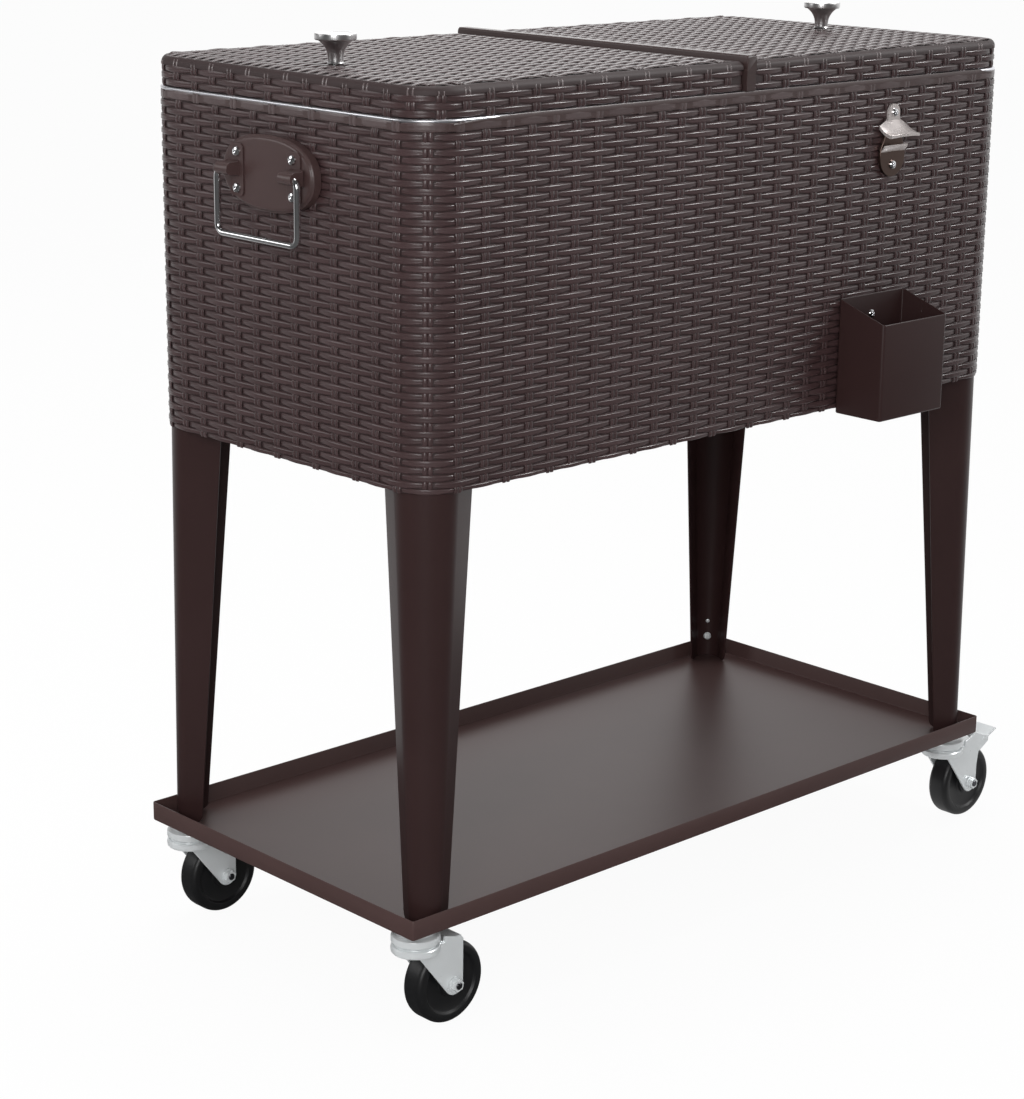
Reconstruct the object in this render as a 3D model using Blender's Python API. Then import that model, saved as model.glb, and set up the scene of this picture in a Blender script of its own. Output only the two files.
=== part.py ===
"""A rolling patio cooler: a woven-look insulated box with two lids hinged at its middle,
on four pressed legs, a shelf tray and swivel casters.

Metres, +Z up, floor at z = 0. +X runs along the length, and the front, with the bottle opener
and the cap box, faces -Y.
"""

import math

import bmesh
import bpy
from mathutils import Matrix, Vector

# Clearances and finish
seat_gap = 0.0003
cut_overrun = 0.003
weld_distance = 0.00001
smooth_angle = math.radians(35)
corner_steps = 5
edge_steps = 3
round_steps = 20
small_round_steps = 12
lug_steps = 9
quarter_turn = math.pi / 2

# Cooler box
body_length = 0.7967
body_depth = 0.3907
body_height = 0.3179
body_corner_radius = 0.0421
shell_wall = 0.0032
band_height = 0.0127
band_wall = 0.006
band_inset = 0.0006
foam_wall = 0.012
base_sheet = 0.0008

# Steel liner
liner_sheet = 0.0006
bead_height = 0.0034
bead_width = 0.004
bead_round = 0.001
tub_corner_radius = 0.03

# Drain through the floor
drain_end_inset = 0.11835
drain_back_inset = 0.09535
drain_bore_radius = 0.006
drain_pipe_radius = 0.0085
drain_flange_radius = 0.014
drain_flange_thickness = 0.002
drain_pipe_below = 0.016
drain_cap_radius = 0.0125
drain_cap_height = 0.014
drain_cap_floor = 0.003
drain_cap_clearance = 0.0006
drain_hole_clearance = 0.0005

# Lids
lid_height = 0.0278
lid_wall = 0.003
lid_edge_radius = 0.008
lid_side_inset = 0.0015
lid_seat_gap = 0.0005
lid_corner_trim = 0.0017
lid_inner_corner = 0.001
lid_pan_sheet = 0.002
gasket_height = 0.006
gasket_width = 0.0065

# Hinges beside the centre bar
bar_width = 0.012
bar_rise = 0.0042
bar_end_cover = 0.0022
bar_edge_radius = 0.0018
bar_side_gap = 0.001
rod_radius = 0.002
rod_clearance = 0.0003
rib_width = 0.012
rib_height = 0.0125
lug_width = 0.012
lug_wall = 0.002
lug_arm_height = 0.005
lug_side_clearance = 0.001
lug_swing_clearance = 0.0005
lug_inset = 0.02485
lid_pan_set_back = 0.0015

# Lid knobs
knob_height = 0.025
knob_radius = 0.0187
knob_base_radius = 0.0074
knob_waist_radius = 0.0068
knob_disc_height = 0.0062
knob_disc_round = 0.0012
knob_inset = 0.0691
knob_neck_radius = 0.0158
knob_neck_shares = (0.2, 0.45, 0.65, 0.82, 1.0)
knob_screw_radius = 0.0025
knob_screw_depth = 0.01
screw_head_radius = 0.005
screw_head_height = 0.003
screw_hole_clearance = 0.0003
screw_crown_share = 0.7

# Legs
leg_height = 0.40085
leg_sheet = 0.0018
leg_top_radius = 0.03
leg_top_flange = 0.033
leg_foot_radius = 0.0155
leg_foot_flange = 0.017
leg_inset = 0.0052
leg_foot_inset = 0.0064
leg_flange_turn = math.radians(72)
leg_toe_radius = 0.008
leg_toe_shares = (0.0, 0.25, 0.6, 1.0)

# Tray
tray_end_overhang = 0.01165
tray_rim_height = 0.0191
tray_sheet = 0.0012

# Casters
caster_height = 0.10215
caster_inset = 0.0262
caster_trail = 0.0331
wheel_radius = 0.0395
wheel_width = 0.024
wheel_shoulder = 0.004
wheel_hub_radius = 0.013
wheel_web_radius = 0.029
wheel_web_recess = 0.003
axle_radius = 0.004
axle_clearance = 0.0003
axle_head_radius = 0.007
axle_head_length = 0.0075
race_radius = 0.0226
race_height = 0.0087
race_edge = 0.0012
race_neck_radius = 0.017
race_neck_height = 0.0068
race_stem_radius = 0.004
kingpin_radius = 0.005
kingpin_head_radius = 0.009
kingpin_head_height = 0.0025
kingpin_clearance = 0.0004
fork_race_height = 0.0085
fork_race_wall = 0.0028
fork_sheet = 0.0025
fork_crown = 0.0034
fork_wheel_gap = 0.0016
fork_front = 0.01
fork_front_drop = 0.0075
fork_skirt_front = 0.004
fork_axle_boss = 0.0105
fork_boss_steps = 6
fork_boss_start = math.radians(215)
fork_boss_stop = math.radians(365)
fork_shoulder_x = 0.0205
fork_shoulder_rise = 0.004
fork_shoulder_run = 0.001
fork_back = 0.044
fork_back_drop = 0.003

# Brake pedals on the right-hand casters
brake_ear_top_x = 0.04
brake_ear_top_rise = 0.0095
brake_ear_end_rise = 0.001
brake_ear_end_height = 0.0068
brake_ear_under_x = 0.0457
brake_ear_under_drop = 0.014
brake_waist_drop = 0.028
brake_crown_back = 0.047
pedal_pivot_x = 0.054
pedal_pin_radius = 0.0018
pedal_barrel_radius = 0.003
pedal_ear_back = 0.0085
pedal_plate_gap = 0.001
pedal_reach = 0.025
pedal_rise = 0.0062
pedal_sheet = 0.002
pedal_width = 0.028
pedal_side_gap = 0.0006
pedal_shoe_out = 0.002
pedal_shoe_length = 0.004
pedal_shoe_drop = 0.01

# End handles
handle_height = 0.0616
handle_length = 0.13
handle_width = 0.067
handle_depth = 0.008
handle_sheet = 0.0016
handle_edge = 0.0025
handle_fullness = 2.3
handle_steps = 28
ear_inner = 0.034
ear_outer = 0.0545
ear_plate_height = 0.044
ear_sheet = 0.0014
ear_lug_inner = 0.0375
ear_lug_outer = 0.0472
ear_lug_radius = 0.0056
pivot_out = 0.021
bail_wire_radius = 0.003
bail_clearance = 0.0004
bail_half_width = 0.056
bail_drop = 0.0575
bail_bend_radius = 0.008
bail_grip_end = 0.038
bail_sides = 8
bail_bend_steps = 4

# Bottle opener
opener_end_inset = 0.19045
opener_top_drop = 0.0332
opener_height = 0.0621
opener_plate = 0.003
opener_tab_radius = 0.0083
opener_plate_half = 0.0187
opener_neck_half = 0.0125
opener_neck_height = 0.02
opener_hood_reach = 0.0206
opener_hood_half = 0.0204
opener_hood_sheet = 0.0032
opener_hood_drop = 0.013
opener_hood_crown = 0.0066
opener_hood_front_crown = 0.0015
opener_hood_below_tab = 0.0055
opener_lip_reach = 0.0095
opener_lip_rise = 0.0045
opener_lip_above_centre = 0.0035
opener_lip_sheet = 0.003
opener_lip_half = 0.0175
opener_lip_bow = 0.0028
front_screw_radius = 0.0018
front_screw_head_radius = 0.0042
front_screw_head_height = 0.0024
opener_screw_length = 0.0058
opener_low_screw_rise = 0.0117
opener_hood_shares = (0.0, 0.35, 0.7, 1.0)
opener_lip_shares = (0.0, 0.5, 1.0)
opener_across_steps = 6
opener_round_steps = 6

# Cap box
catcher_end_inset = 0.20935
catcher_width = 0.0975
catcher_depth = 0.0567
catcher_back_height = 0.1139
catcher_front_height = 0.095
catcher_sheet = 0.0012
catcher_below_body = 0.0043
catcher_screw_below_top = 0.0205
catcher_screw_length = 0.0043

# Heights, from the floor up
tray_underside = caster_height
tray_floor = tray_underside + tray_sheet
leg_foot = tray_floor + seat_gap
leg_top = leg_foot + leg_height
body_underside = leg_top + seat_gap
body_top = body_underside + body_height
lid_underside = body_top + lid_seat_gap
lid_top = lid_underside + lid_height
knob_seat = lid_top + seat_gap

# Half sizes
body_half_x = body_length / 2
body_half_y = body_depth / 2
shell_half_x = body_half_x - shell_wall
shell_half_y = body_half_y - shell_wall
liner_half_x = shell_half_x - 2 * seat_gap - foam_wall
liner_half_y = shell_half_y - 2 * seat_gap - foam_wall
lid_half_x = body_half_x - lid_side_inset
lid_half_y = body_half_y - lid_side_inset
lid_corner_radius = body_corner_radius - lid_side_inset
lid_inner_end = bar_width / 2 + bar_side_gap
tray_half_x = body_half_x + tray_end_overhang
tray_half_y = body_half_y

# Places in plan of the drain and the front fittings
drain_x = drain_end_inset - body_half_x
drain_y = body_half_y - drain_back_inset
opener_x = body_half_x - opener_end_inset
catcher_x = body_half_x - catcher_end_inset

# Levels inside the box
band_top = body_top - bead_height - seat_gap
band_underside = band_top - band_height
base_top = body_underside + base_sheet
liner_floor_underside = base_top + seat_gap + foam_wall + seat_gap
liner_floor = liner_floor_underside + liner_sheet

# Hinge axes lie where the lids' inner top edges are rounded
hinge_x = lid_inner_end + lid_edge_radius
hinge_z = lid_top - lid_edge_radius
lug_radius = rod_radius + rod_clearance + lug_wall
hinge_recess_radius = lug_radius + lug_swing_clearance
pan_inner_end = hinge_x + rib_width / 2 + lid_pan_set_back
lug_middle_y = lid_half_y - lug_inset

# Handles
pivot_x = body_half_x + pivot_out
pivot_z = body_top - handle_height + bail_wire_radius / 2
handle_z = body_top - handle_height
handle_front = seat_gap + handle_depth
ear_seat = handle_front + seat_gap

# Casters and brakes
caster_x = tray_half_x - caster_inset
caster_y = tray_half_y - caster_inset
race_top = tray_underside - seat_gap
race_underside = race_top - race_neck_height - race_height
fork_race_top = race_underside - seat_gap
fork_crown_underside = fork_race_top - fork_crown
fork_inner_half = wheel_width / 2 + fork_wheel_gap
fork_outer_half = fork_inner_half + fork_sheet
pedal_pivot_z = fork_race_top
pedal_tip_x = pedal_pivot_x + pedal_reach

# The origin is under the centre of everything at rest, pedals, bails and cap box included
reach_left = pivot_x + ear_lug_radius
reach_right = max(reach_left, caster_x + pedal_tip_x)
reach_front = body_half_y + seat_gap + catcher_depth
reach_back = lid_half_y + bar_end_cover
origin_x = (reach_right - reach_left) / 2
origin_y = (reach_back - reach_front) / 2

brown_steel = ("brown_painted_steel", (0.036, 0.021, 0.016, 1), 0.38, 0.0)
woven_plastic = ("woven_plastic", (0.055, 0.04, 0.035, 1), 0.45, 0.0)
plain_plastic = ("brown_plastic", (0.04, 0.028, 0.024, 1), 0.35, 0.0)
liner_steel = ("liner_steel", (0.62, 0.62, 0.64, 1), 0.25, 1.0)
foam = ("foam", (0.85, 0.83, 0.72, 1), 0.9, 0.0)
pale_plastic = ("pale_plastic", (0.72, 0.72, 0.7, 1), 0.5, 0.0)
black_rubber = ("black_rubber", (0.02, 0.02, 0.02, 1), 0.8, 0.0)
chrome = ("chrome", (0.75, 0.75, 0.76, 1), 0.12, 1.0)
satin_steel = ("satin_steel", (0.5, 0.49, 0.47, 1), 0.3, 1.0)
zinc = ("zinc_plate", (0.62, 0.66, 0.66, 1), 0.32, 1.0)
black_wheel = ("black_wheel", (0.018, 0.018, 0.02, 1), 0.5, 0.0)


def material(finish):
    name, colour, roughness, metallic = finish
    found = bpy.data.materials.get(name)
    if found:
        return found
    made = bpy.data.materials.new(name)
    made.use_nodes = True
    shader = made.node_tree.nodes["Principled BSDF"]
    shader.inputs["Base Color"].default_value = colour
    shader.inputs["Roughness"].default_value = roughness
    shader.inputs["Metallic"].default_value = metallic
    return made


def mesh_of(name, bm, smooth=True):
    """A mesh with its faces turned outwards and its normals smoothed over small angles."""
    bmesh.ops.remove_doubles(bm, verts=bm.verts, dist=weld_distance)
    bmesh.ops.dissolve_degenerate(bm, edges=bm.edges, dist=weld_distance)
    bmesh.ops.recalc_face_normals(bm, faces=bm.faces)
    bmesh.ops.triangulate(bm, faces=bm.faces)
    mesh = bpy.data.meshes.new(name)
    bm.to_mesh(mesh)
    bm.free()
    if mesh.validate():
        mesh.update()
    if smooth:
        mesh.shade_smooth()
        mesh.set_sharp_from_angle(angle=smooth_angle)
    return mesh


def place(name, mesh, finish, parent, at=(0, 0, 0), turn_z=0.0):
    obj = bpy.data.objects.new(name, mesh)
    bpy.context.scene.collection.objects.link(obj)
    if not mesh.materials:
        mesh.materials.append(material(finish))
    obj.parent = parent
    obj.location = at
    obj.rotation_euler = (0, 0, turn_z)
    return obj


def joint(name, parent, at):
    """An empty on a joint's axis, which carries the pieces that move with it."""
    empty = bpy.data.objects.new(name, None)
    bpy.context.scene.collection.objects.link(empty)
    empty.parent = parent
    empty.location = at
    return empty


def rounded_outline(half_x, half_y, radius, steps=corner_steps):
    """Corner points of a rounded rectangle, anticlockwise from the right-hand back corner."""
    points = []
    for quarter, (sx, sy) in enumerate(((1, 1), (-1, 1), (-1, -1), (1, -1))):
        centre_x = sx * (half_x - radius)
        centre_y = sy * (half_y - radius)
        for step in range(steps + 1):
            angle = quarter_turn * (quarter + step / steps)
            points.append((centre_x + radius * math.cos(angle), centre_y + radius * math.sin(angle)))
    return points


def loft(rings):
    """A closed solid through rings with the same number of points, with a cap on each end."""
    bm = bmesh.new()
    rows = [[bm.verts.new(point) for point in ring] for ring in rings]
    for low, high in zip(rows, rows[1:]):
        for i, vert in enumerate(low):
            j = (i + 1) % len(low)
            bm.faces.new((vert, low[j], high[j], high[i]))
    bm.faces.new(list(reversed(rows[0])))
    bm.faces.new(rows[-1])
    return bm


def flat_ring(outline, z):
    return [(x, y, z) for x, y in outline]


def hoop(outer, inner, z0, z1):
    """A band between two outlines with the same number of points."""
    bm = bmesh.new()
    rings = ((outer, z0), (outer, z1), (inner, z1), (inner, z0))
    rows = [[bm.verts.new(point) for point in flat_ring(line, z)] for line, z in rings]
    for low, high in zip(rows, rows[1:] + rows[:1]):
        for i, vert in enumerate(low):
            j = (i + 1) % len(low)
            bm.faces.new((vert, low[j], high[j], high[i]))
    return bm


def turned(profile, steps=round_steps):
    """A solid of revolution about Z.

    The profile is (radius, z) pairs, closed, or starting and ending on the axis.
    """
    bm = bmesh.new()
    rows = []
    for radius, z in profile:
        if radius == 0:
            rows.append([bm.verts.new((0, 0, z))])
            continue
        angles = [2 * math.pi * step / steps for step in range(steps)]
        rows.append([bm.verts.new((radius * math.cos(a), radius * math.sin(a), z)) for a in angles])
    pairs = list(zip(rows, rows[1:]))
    if profile[0][0] > 0:
        pairs.append((rows[-1], rows[0]))
    for low, high in pairs:
        for i in range(steps):
            j = (i + 1) % steps
            corners = [low[i % len(low)], low[j % len(low)], high[j % len(high)], high[i % len(high)]]
            corners = [c for k, c in enumerate(corners) if c not in corners[:k]]
            if len(corners) > 2:
                bm.faces.new(corners)
    return bm


def box(low, high):
    bm = bmesh.new()
    made = bmesh.ops.create_cube(bm, size=1)
    size = Vector(high) - Vector(low)
    middle = (Vector(high) + Vector(low)) / 2
    stretch = Matrix.Translation(middle) @ Matrix.Diagonal((*size, 1))
    bmesh.ops.transform(bm, matrix=stretch, verts=made["verts"])
    return bm


def rod(axis, start, end, radius, steps=small_round_steps):
    """A cylinder between two points that differ along one axis, "Y" or "Z"."""
    length = (Vector(end) - Vector(start)).length
    bm = turned([(0, 0), (radius, 0), (radius, length), (0, length)], steps)
    turns = {"Y": Matrix.Rotation(-quarter_turn, 4, "X"), "Z": Matrix.Identity(4)}
    bmesh.ops.transform(bm, matrix=Matrix.Translation(start) @ turns[axis], verts=bm.verts)
    return bm


def extruded(outline, start, end):
    """An outline in XZ pushed along Y."""
    return loft([[(x, y, z) for x, z in outline] for y in (start, end)])


def combine(name, base, others, operation="UNION", smooth=True):
    """Joins the other solids to the base, or cuts them from it, and returns the finished mesh."""
    whole = bpy.data.objects.new(name, mesh_of(name, base, False))
    bpy.context.scene.collection.objects.link(whole)
    tools = []
    for other in others:
        tool = bpy.data.objects.new("tool", mesh_of("tool", other, False))
        bpy.context.scene.collection.objects.link(tool)
        tool.hide_render = True
        tool.display_type = "WIRE"
        step = whole.modifiers.new(operation.title(), "BOOLEAN")
        step.operation = operation
        step.solver = "EXACT"
        step.object = tool
        tools.append(tool)
    graph = bpy.context.evaluated_depsgraph_get()
    graph.update()
    made = bpy.data.meshes.new_from_object(whole.evaluated_get(graph))
    for helper in [whole, *tools]:
        data = helper.data
        bpy.data.objects.remove(helper)
        bpy.data.meshes.remove(data)
    return mesh_of(name, bm_of(made), smooth)


def bm_of(mesh):
    bm = bmesh.new()
    bm.from_mesh(mesh)
    bpy.data.meshes.remove(mesh)
    return bm


def front_screw_mesh(name, length):
    """A round-head screw with its head's underside at the origin and its shank running along +Y."""
    profile = [
        (0, -front_screw_head_height),
        (front_screw_head_radius * screw_crown_share, -front_screw_head_height),
        (front_screw_head_radius, -front_screw_head_height / 2),
        (front_screw_head_radius, 0),
        (front_screw_radius, 0),
        (front_screw_radius, length),
        (0, length),
    ]
    bm = turned(profile, small_round_steps)
    bmesh.ops.transform(bm, matrix=Matrix.Rotation(-quarter_turn, 4, "X"), verts=bm.verts)
    return mesh_of(name, bm)


def build_box(root):
    def body_outline(inset):
        return rounded_outline(body_half_x - inset, body_half_y - inset, body_corner_radius - inset)

    shell_top = band_underside - seat_gap
    shell = hoop(body_outline(0), body_outline(shell_wall), body_underside, shell_top)
    holes = []
    for x, z, radius in front_screw_places():
        hole_radius = radius + screw_hole_clearance
        start = (x, -body_half_y - cut_overrun, z)
        end = (x, -shell_half_y + cut_overrun, z)
        holes.append(rod("Y", start, end, hole_radius))
    shell_mesh = combine("wicker_shell", shell, holes, "DIFFERENCE")
    place("wicker_shell", shell_mesh, woven_plastic, root)

    band = hoop(body_outline(band_inset), body_outline(band_wall), band_underside, band_top)
    place("top_rim", mesh_of("top_rim", band), plain_plastic, root)

    drain_at = (drain_x, drain_y)

    def drain_hole(z0, z1, radius):
        return rod("Z", (*drain_at, z0 - cut_overrun), (*drain_at, z1 + cut_overrun), radius)

    lining = body_outline(shell_wall + seat_gap)
    base = loft([flat_ring(lining, z) for z in (body_underside, base_top)])
    pipe_hole = drain_hole(body_underside, base_top, drain_pipe_radius + drain_hole_clearance)
    place("base_pan", combine("base_pan", base, [pipe_hole], "DIFFERENCE"), brown_steel, root)

    tub_radius = tub_corner_radius + seat_gap
    foam_in = rounded_outline(liner_half_x + seat_gap, liner_half_y + seat_gap, tub_radius)
    foam_bottom = base_top + seat_gap
    foam_floor = liner_floor_underside - seat_gap
    foam_top = band_underside - seat_gap
    foam_rings = [
        flat_ring(lining, foam_bottom),
        flat_ring(lining, foam_top),
        flat_ring(foam_in, foam_top),
        flat_ring(foam_in, foam_floor),
    ]
    flange_hole = drain_hole(foam_bottom, foam_floor, drain_flange_radius + drain_hole_clearance)
    foam_mesh = combine("insulation_foam", loft(foam_rings), [flange_hole], "DIFFERENCE")
    place("insulation_foam", foam_mesh, foam, root)

    def flange(inset, z):
        return flat_ring(body_outline(band_inset + inset), z)

    def tub(inset, z):
        radius = tub_corner_radius - inset
        return flat_ring(rounded_outline(liner_half_x - inset, liner_half_y - inset, radius), z)

    flange_underside = body_top - liner_sheet
    rings = [
        tub(0, liner_floor_underside),
        tub(0, flange_underside),
        flange(bead_width, flange_underside),
        flange(bead_width, body_top - bead_height),
        flange(bead_round, body_top - bead_height),
        flange(0, body_top - bead_height + bead_round),
        flange(0, body_top - bead_round),
        flange(bead_round, body_top),
        tub(liner_sheet, body_top),
        tub(liner_sheet, liner_floor_underside),
    ]
    place("liner_tub", mesh_of("liner_tub", closed_band(rings)), liner_steel, root)

    floor_inset = liner_sheet + seat_gap
    floor = loft([tub(floor_inset, z) for z in (liner_floor_underside, liner_floor)])
    water_hole = drain_hole(liner_floor_underside, liner_floor, drain_bore_radius)
    place("liner_floor", combine("liner_floor", floor, [water_hole], "DIFFERENCE"), liner_steel, root)

    pipe_foot = body_underside - drain_pipe_below
    pipe_top = liner_floor_underside - seat_gap
    pipe = [
        (drain_bore_radius, pipe_foot),
        (drain_pipe_radius, pipe_foot),
        (drain_pipe_radius, pipe_top - drain_flange_thickness),
        (drain_flange_radius, pipe_top - drain_flange_thickness),
        (drain_flange_radius, pipe_top),
        (drain_bore_radius, pipe_top),
    ]
    spigot_mesh = mesh_of("drain_spigot", turned(pipe, small_round_steps))
    place("drain_spigot", spigot_mesh, black_rubber, root, (*drain_at, 0))

    cap_floor = pipe_foot - seat_gap
    cap_inner = drain_pipe_radius + drain_cap_clearance
    cap_low = cap_floor - drain_cap_floor
    cap = [
        (0, cap_low),
        (drain_cap_radius, cap_low),
        (drain_cap_radius, cap_low + drain_cap_height),
        (cap_inner, cap_low + drain_cap_height),
        (cap_inner, cap_floor),
        (0, cap_floor),
    ]
    cap_mesh = mesh_of("drain_cap", turned(cap, small_round_steps))
    place("drain_cap", cap_mesh, black_rubber, joint("drain_cap_turn", root, (*drain_at, 0)))


def front_screw_places():
    """Centres and shank radii of the screws in the front wall."""
    top = opener_top_z()
    return (
        (opener_x, top, front_screw_radius),
        (opener_x, opener_low_z() + opener_low_screw_rise, front_screw_radius),
        (catcher_x, catcher_screw_z(), front_screw_radius),
    )


def opener_top_z():
    return body_top - opener_top_drop


def opener_low_z():
    return opener_top_z() - opener_height


def catcher_top_z():
    return body_underside - catcher_below_body + catcher_back_height


def catcher_screw_z():
    return catcher_top_z() - catcher_screw_below_top


def lid_outline(side, inset, inner_inset, inner_end=lid_inner_end):
    """Plan of one lid, drawn in by inset, rounded at its two outer corners and square beside the bar."""
    out = lid_half_x - inset
    deep = lid_half_y - inset
    radius = lid_corner_radius - inset
    inner = inner_end + inner_inset
    points = []
    for sy, start in ((1, 0), (-1, 3)):
        centre_y = sy * (deep - radius)
        for step in range(corner_steps + 1):
            angle = quarter_turn * (start + step / corner_steps)
            x = out - radius + radius * math.cos(angle)
            points.append((x, centre_y + radius * math.sin(angle)))
    arc = corner_steps + 1
    back_arc = points[:arc]
    front_arc = points[arc:]
    line = [*front_arc, *back_arc]
    hinge_side = hinge_x + inner_inset
    line += [(hinge_side, deep), (inner + lid_inner_corner, deep), (inner, deep - lid_inner_corner)]
    line += [(inner, -deep + lid_inner_corner), (inner + lid_inner_corner, -deep), (hinge_side, -deep)]
    return [(side * x, y) for x, y in line]


def build_lid(root, side, word):
    """One lid with its empty on the hinge axis. side is -1 for the left lid and 1 for the right one."""
    hinge = joint(word + "_lid_hinge", root, (side * hinge_x, 0, hinge_z))

    def local(x, y, z):
        return (x - side * hinge_x, y, z - hinge_z)

    def ring(inset, z):
        """A level ring, with its corners beside the bar lifted to clear the flange as the lid swings."""
        lifted = z + lid_corner_trim if z == lid_underside else z
        line = lid_outline(side, inset, inset)
        return [local(x, y, z if abs(x) >= hinge_x - weld_distance else lifted) for x, y in line]

    shoulder = lid_top - lid_edge_radius
    turns = [quarter_turn * step / edge_steps for step in range(1, edge_steps + 1)]
    outer_rings = [ring(0, lid_underside), ring(0, shoulder)]
    inner_radius = lid_edge_radius - lid_wall
    inner_rings = [ring(lid_wall, lid_underside), ring(lid_wall, shoulder)]
    for a in turns:
        turned_in = 1 - math.cos(a)
        outer_rings.append(ring(lid_edge_radius * turned_in, shoulder + lid_edge_radius * math.sin(a)))
        inner_rings.append(ring(lid_wall + inner_radius * turned_in, shoulder + inner_radius * math.sin(a)))
    inner_rings.reverse()
    skin = loft_shell(outer_rings, inner_rings)

    inner_deep = lid_half_y - lid_wall
    rib_radius = lid_edge_radius - lid_wall / 2
    rib_foot = rib_radius - rib_height
    rib_line = [(-rib_radius, rib_foot), (rib_width / 2, rib_foot), (rib_width / 2, rib_radius)]
    for step in range(corner_steps + 1):
        angle = quarter_turn * (1 + step / corner_steps)
        rib_line.append((rib_radius * math.cos(angle), rib_radius * math.sin(angle)))
    rib_end = lid_half_y - lid_edge_radius
    rib = extruded([(side * x, z) for x, z in rib_line], -rib_end, rib_end)
    ribbed = combine("ribbed", skin, [rib], "UNION", False)

    cuts = [rod("Y", (0, -inner_deep, 0), (0, inner_deep, 0), rod_radius + rod_clearance)]
    notch_half = lug_width / 2 + lug_side_clearance
    notch_out = rib_width / 2 + cut_overrun / 2
    notch_in = lid_edge_radius + cut_overrun
    for sy in (-1, 1):
        middle = sy * lug_middle_y
        y0 = middle - notch_half
        y1 = middle + notch_half
        cuts.append(rod("Y", (0, y0, 0), (0, y1, 0), hinge_recess_radius, round_steps))
        xs = sorted((side * notch_out, -side * notch_in))
        cuts.append(box((xs[0], y0, lid_underside - hinge_z - cut_overrun), (xs[1], y1, 0)))
    knob_x = side * (body_half_x - knob_inset)
    knob_hole_radius = knob_screw_radius + screw_hole_clearance
    knob_hole_start = local(knob_x, 0, lid_top - lid_wall - cut_overrun)
    cuts.append(rod("Z", knob_hole_start, local(knob_x, 0, lid_top + cut_overrun), knob_hole_radius))
    skin_mesh = combine("lid_skin_" + word, bm_of(ribbed), cuts, "DIFFERENCE")
    place("lid_skin_" + word, skin_mesh, woven_plastic, hinge)

    pan_top = body_top + seat_gap + gasket_height + seat_gap + lid_pan_sheet
    inset = lid_wall + seat_gap

    def plan(extra, end_extra, z):
        line = lid_outline(side, inset + extra, end_extra, pan_inner_end)
        end = side * (pan_inner_end + end_extra)
        line = [(x if abs(x) > pan_inner_end else end, y) for x, y in line]
        return simple([local(x, y, z) for x, y in line])

    pan = loft([plan(0, 0, z) for z in (pan_top - lid_pan_sheet, pan_top)])
    place("lid_pan_" + word, mesh_of("lid_pan_" + word, pan), pale_plastic, hinge)

    gasket_low = body_top + seat_gap
    gasket_high = gasket_low + gasket_height
    gasket_outer = [plan(0, 0, z) for z in (gasket_low, gasket_high)]
    gasket_inner = [plan(gasket_width, gasket_width, z) for z in (gasket_high, gasket_low)]
    gasket = closed_band(gasket_outer + gasket_inner)
    place("lid_gasket_" + word, mesh_of("lid_gasket_" + word, gasket), black_rubber, hinge)

    foam_low = pan_top + seat_gap
    foam_high = lid_top - lid_wall - seat_gap
    foam_levels = ((0, foam_low), (0, foam_high - inner_radius), (inner_radius, foam_high))
    slab = loft([plan(extra, 0, z) for extra, z in foam_levels])
    pocket_radius = screw_head_radius + seat_gap
    pocket_floor = foam_high - screw_head_height - seat_gap
    pocket_top = local(knob_x, 0, foam_high + cut_overrun)
    pocket = rod("Z", local(knob_x, 0, pocket_floor), pocket_top, pocket_radius)
    place("lid_foam_" + word, combine("lid_foam_" + word, slab, [pocket], "DIFFERENCE"), foam, hinge)

    neck_top = knob_height - knob_disc_height
    screw_bore = knob_screw_radius + screw_hole_clearance
    bore_depth = knob_screw_depth + screw_hole_clearance
    neck = []
    for share in knob_neck_shares:
        flare = (knob_neck_radius - knob_waist_radius) * share**3
        neck.append((knob_waist_radius + flare, neck_top * share))
    profile = [(0, bore_depth), (screw_bore, bore_depth), (screw_bore, 0), (knob_base_radius, 0), *neck]
    profile += [
        (knob_radius - knob_disc_round, neck_top),
        (knob_radius, neck_top + knob_disc_round),
        (knob_radius, knob_height - knob_disc_round),
        (knob_radius - knob_disc_round, knob_height),
        (0, knob_height),
    ]
    knob = mesh_of("knob_" + word, turned(profile))
    place("knob_" + word, knob, satin_steel, hinge, local(knob_x, 0, knob_seat))

    head_top = lid_top - lid_wall - seat_gap
    tip = seat_gap + lid_wall + seat_gap + knob_screw_depth
    screw = [
        (0, -screw_head_height),
        (screw_head_radius, -screw_head_height),
        (screw_head_radius, 0),
        (knob_screw_radius, 0),
        (knob_screw_radius, tip),
        (0, tip),
    ]
    screw_mesh = mesh_of("knob_screw_" + word, turned(screw, small_round_steps))
    place("knob_screw_" + word, screw_mesh, zinc, hinge, local(knob_x, 0, head_top))
    return hinge


def simple(ring):
    """A ring without points that repeat or that lie on the straight between their neighbours."""
    kept = []
    for point in ring:
        if not kept or (Vector(point) - Vector(kept[-1])).length > weld_distance:
            kept.append(point)
    if (Vector(kept[0]) - Vector(kept[-1])).length <= weld_distance:
        kept.pop()
    count = len(kept)
    turns = []
    for i in range(count):
        before = (Vector(kept[i]) - Vector(kept[i - 1])).normalized()
        after = (Vector(kept[(i + 1) % count]) - Vector(kept[i])).normalized()
        turns.append(before.cross(after).length)
    return [point for point, turn in zip(kept, turns) if turn > weld_distance]


def closed_band(rings):
    """A loop of rings joined one to the next and the last to the first."""
    bm = bmesh.new()
    rows = [[bm.verts.new(point) for point in ring] for ring in rings]
    for low, high in zip(rows, rows[1:] + rows[:1]):
        for i, vert in enumerate(low):
            j = (i + 1) % len(low)
            bm.faces.new((vert, low[j], high[j], high[i]))
    return bm


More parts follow.
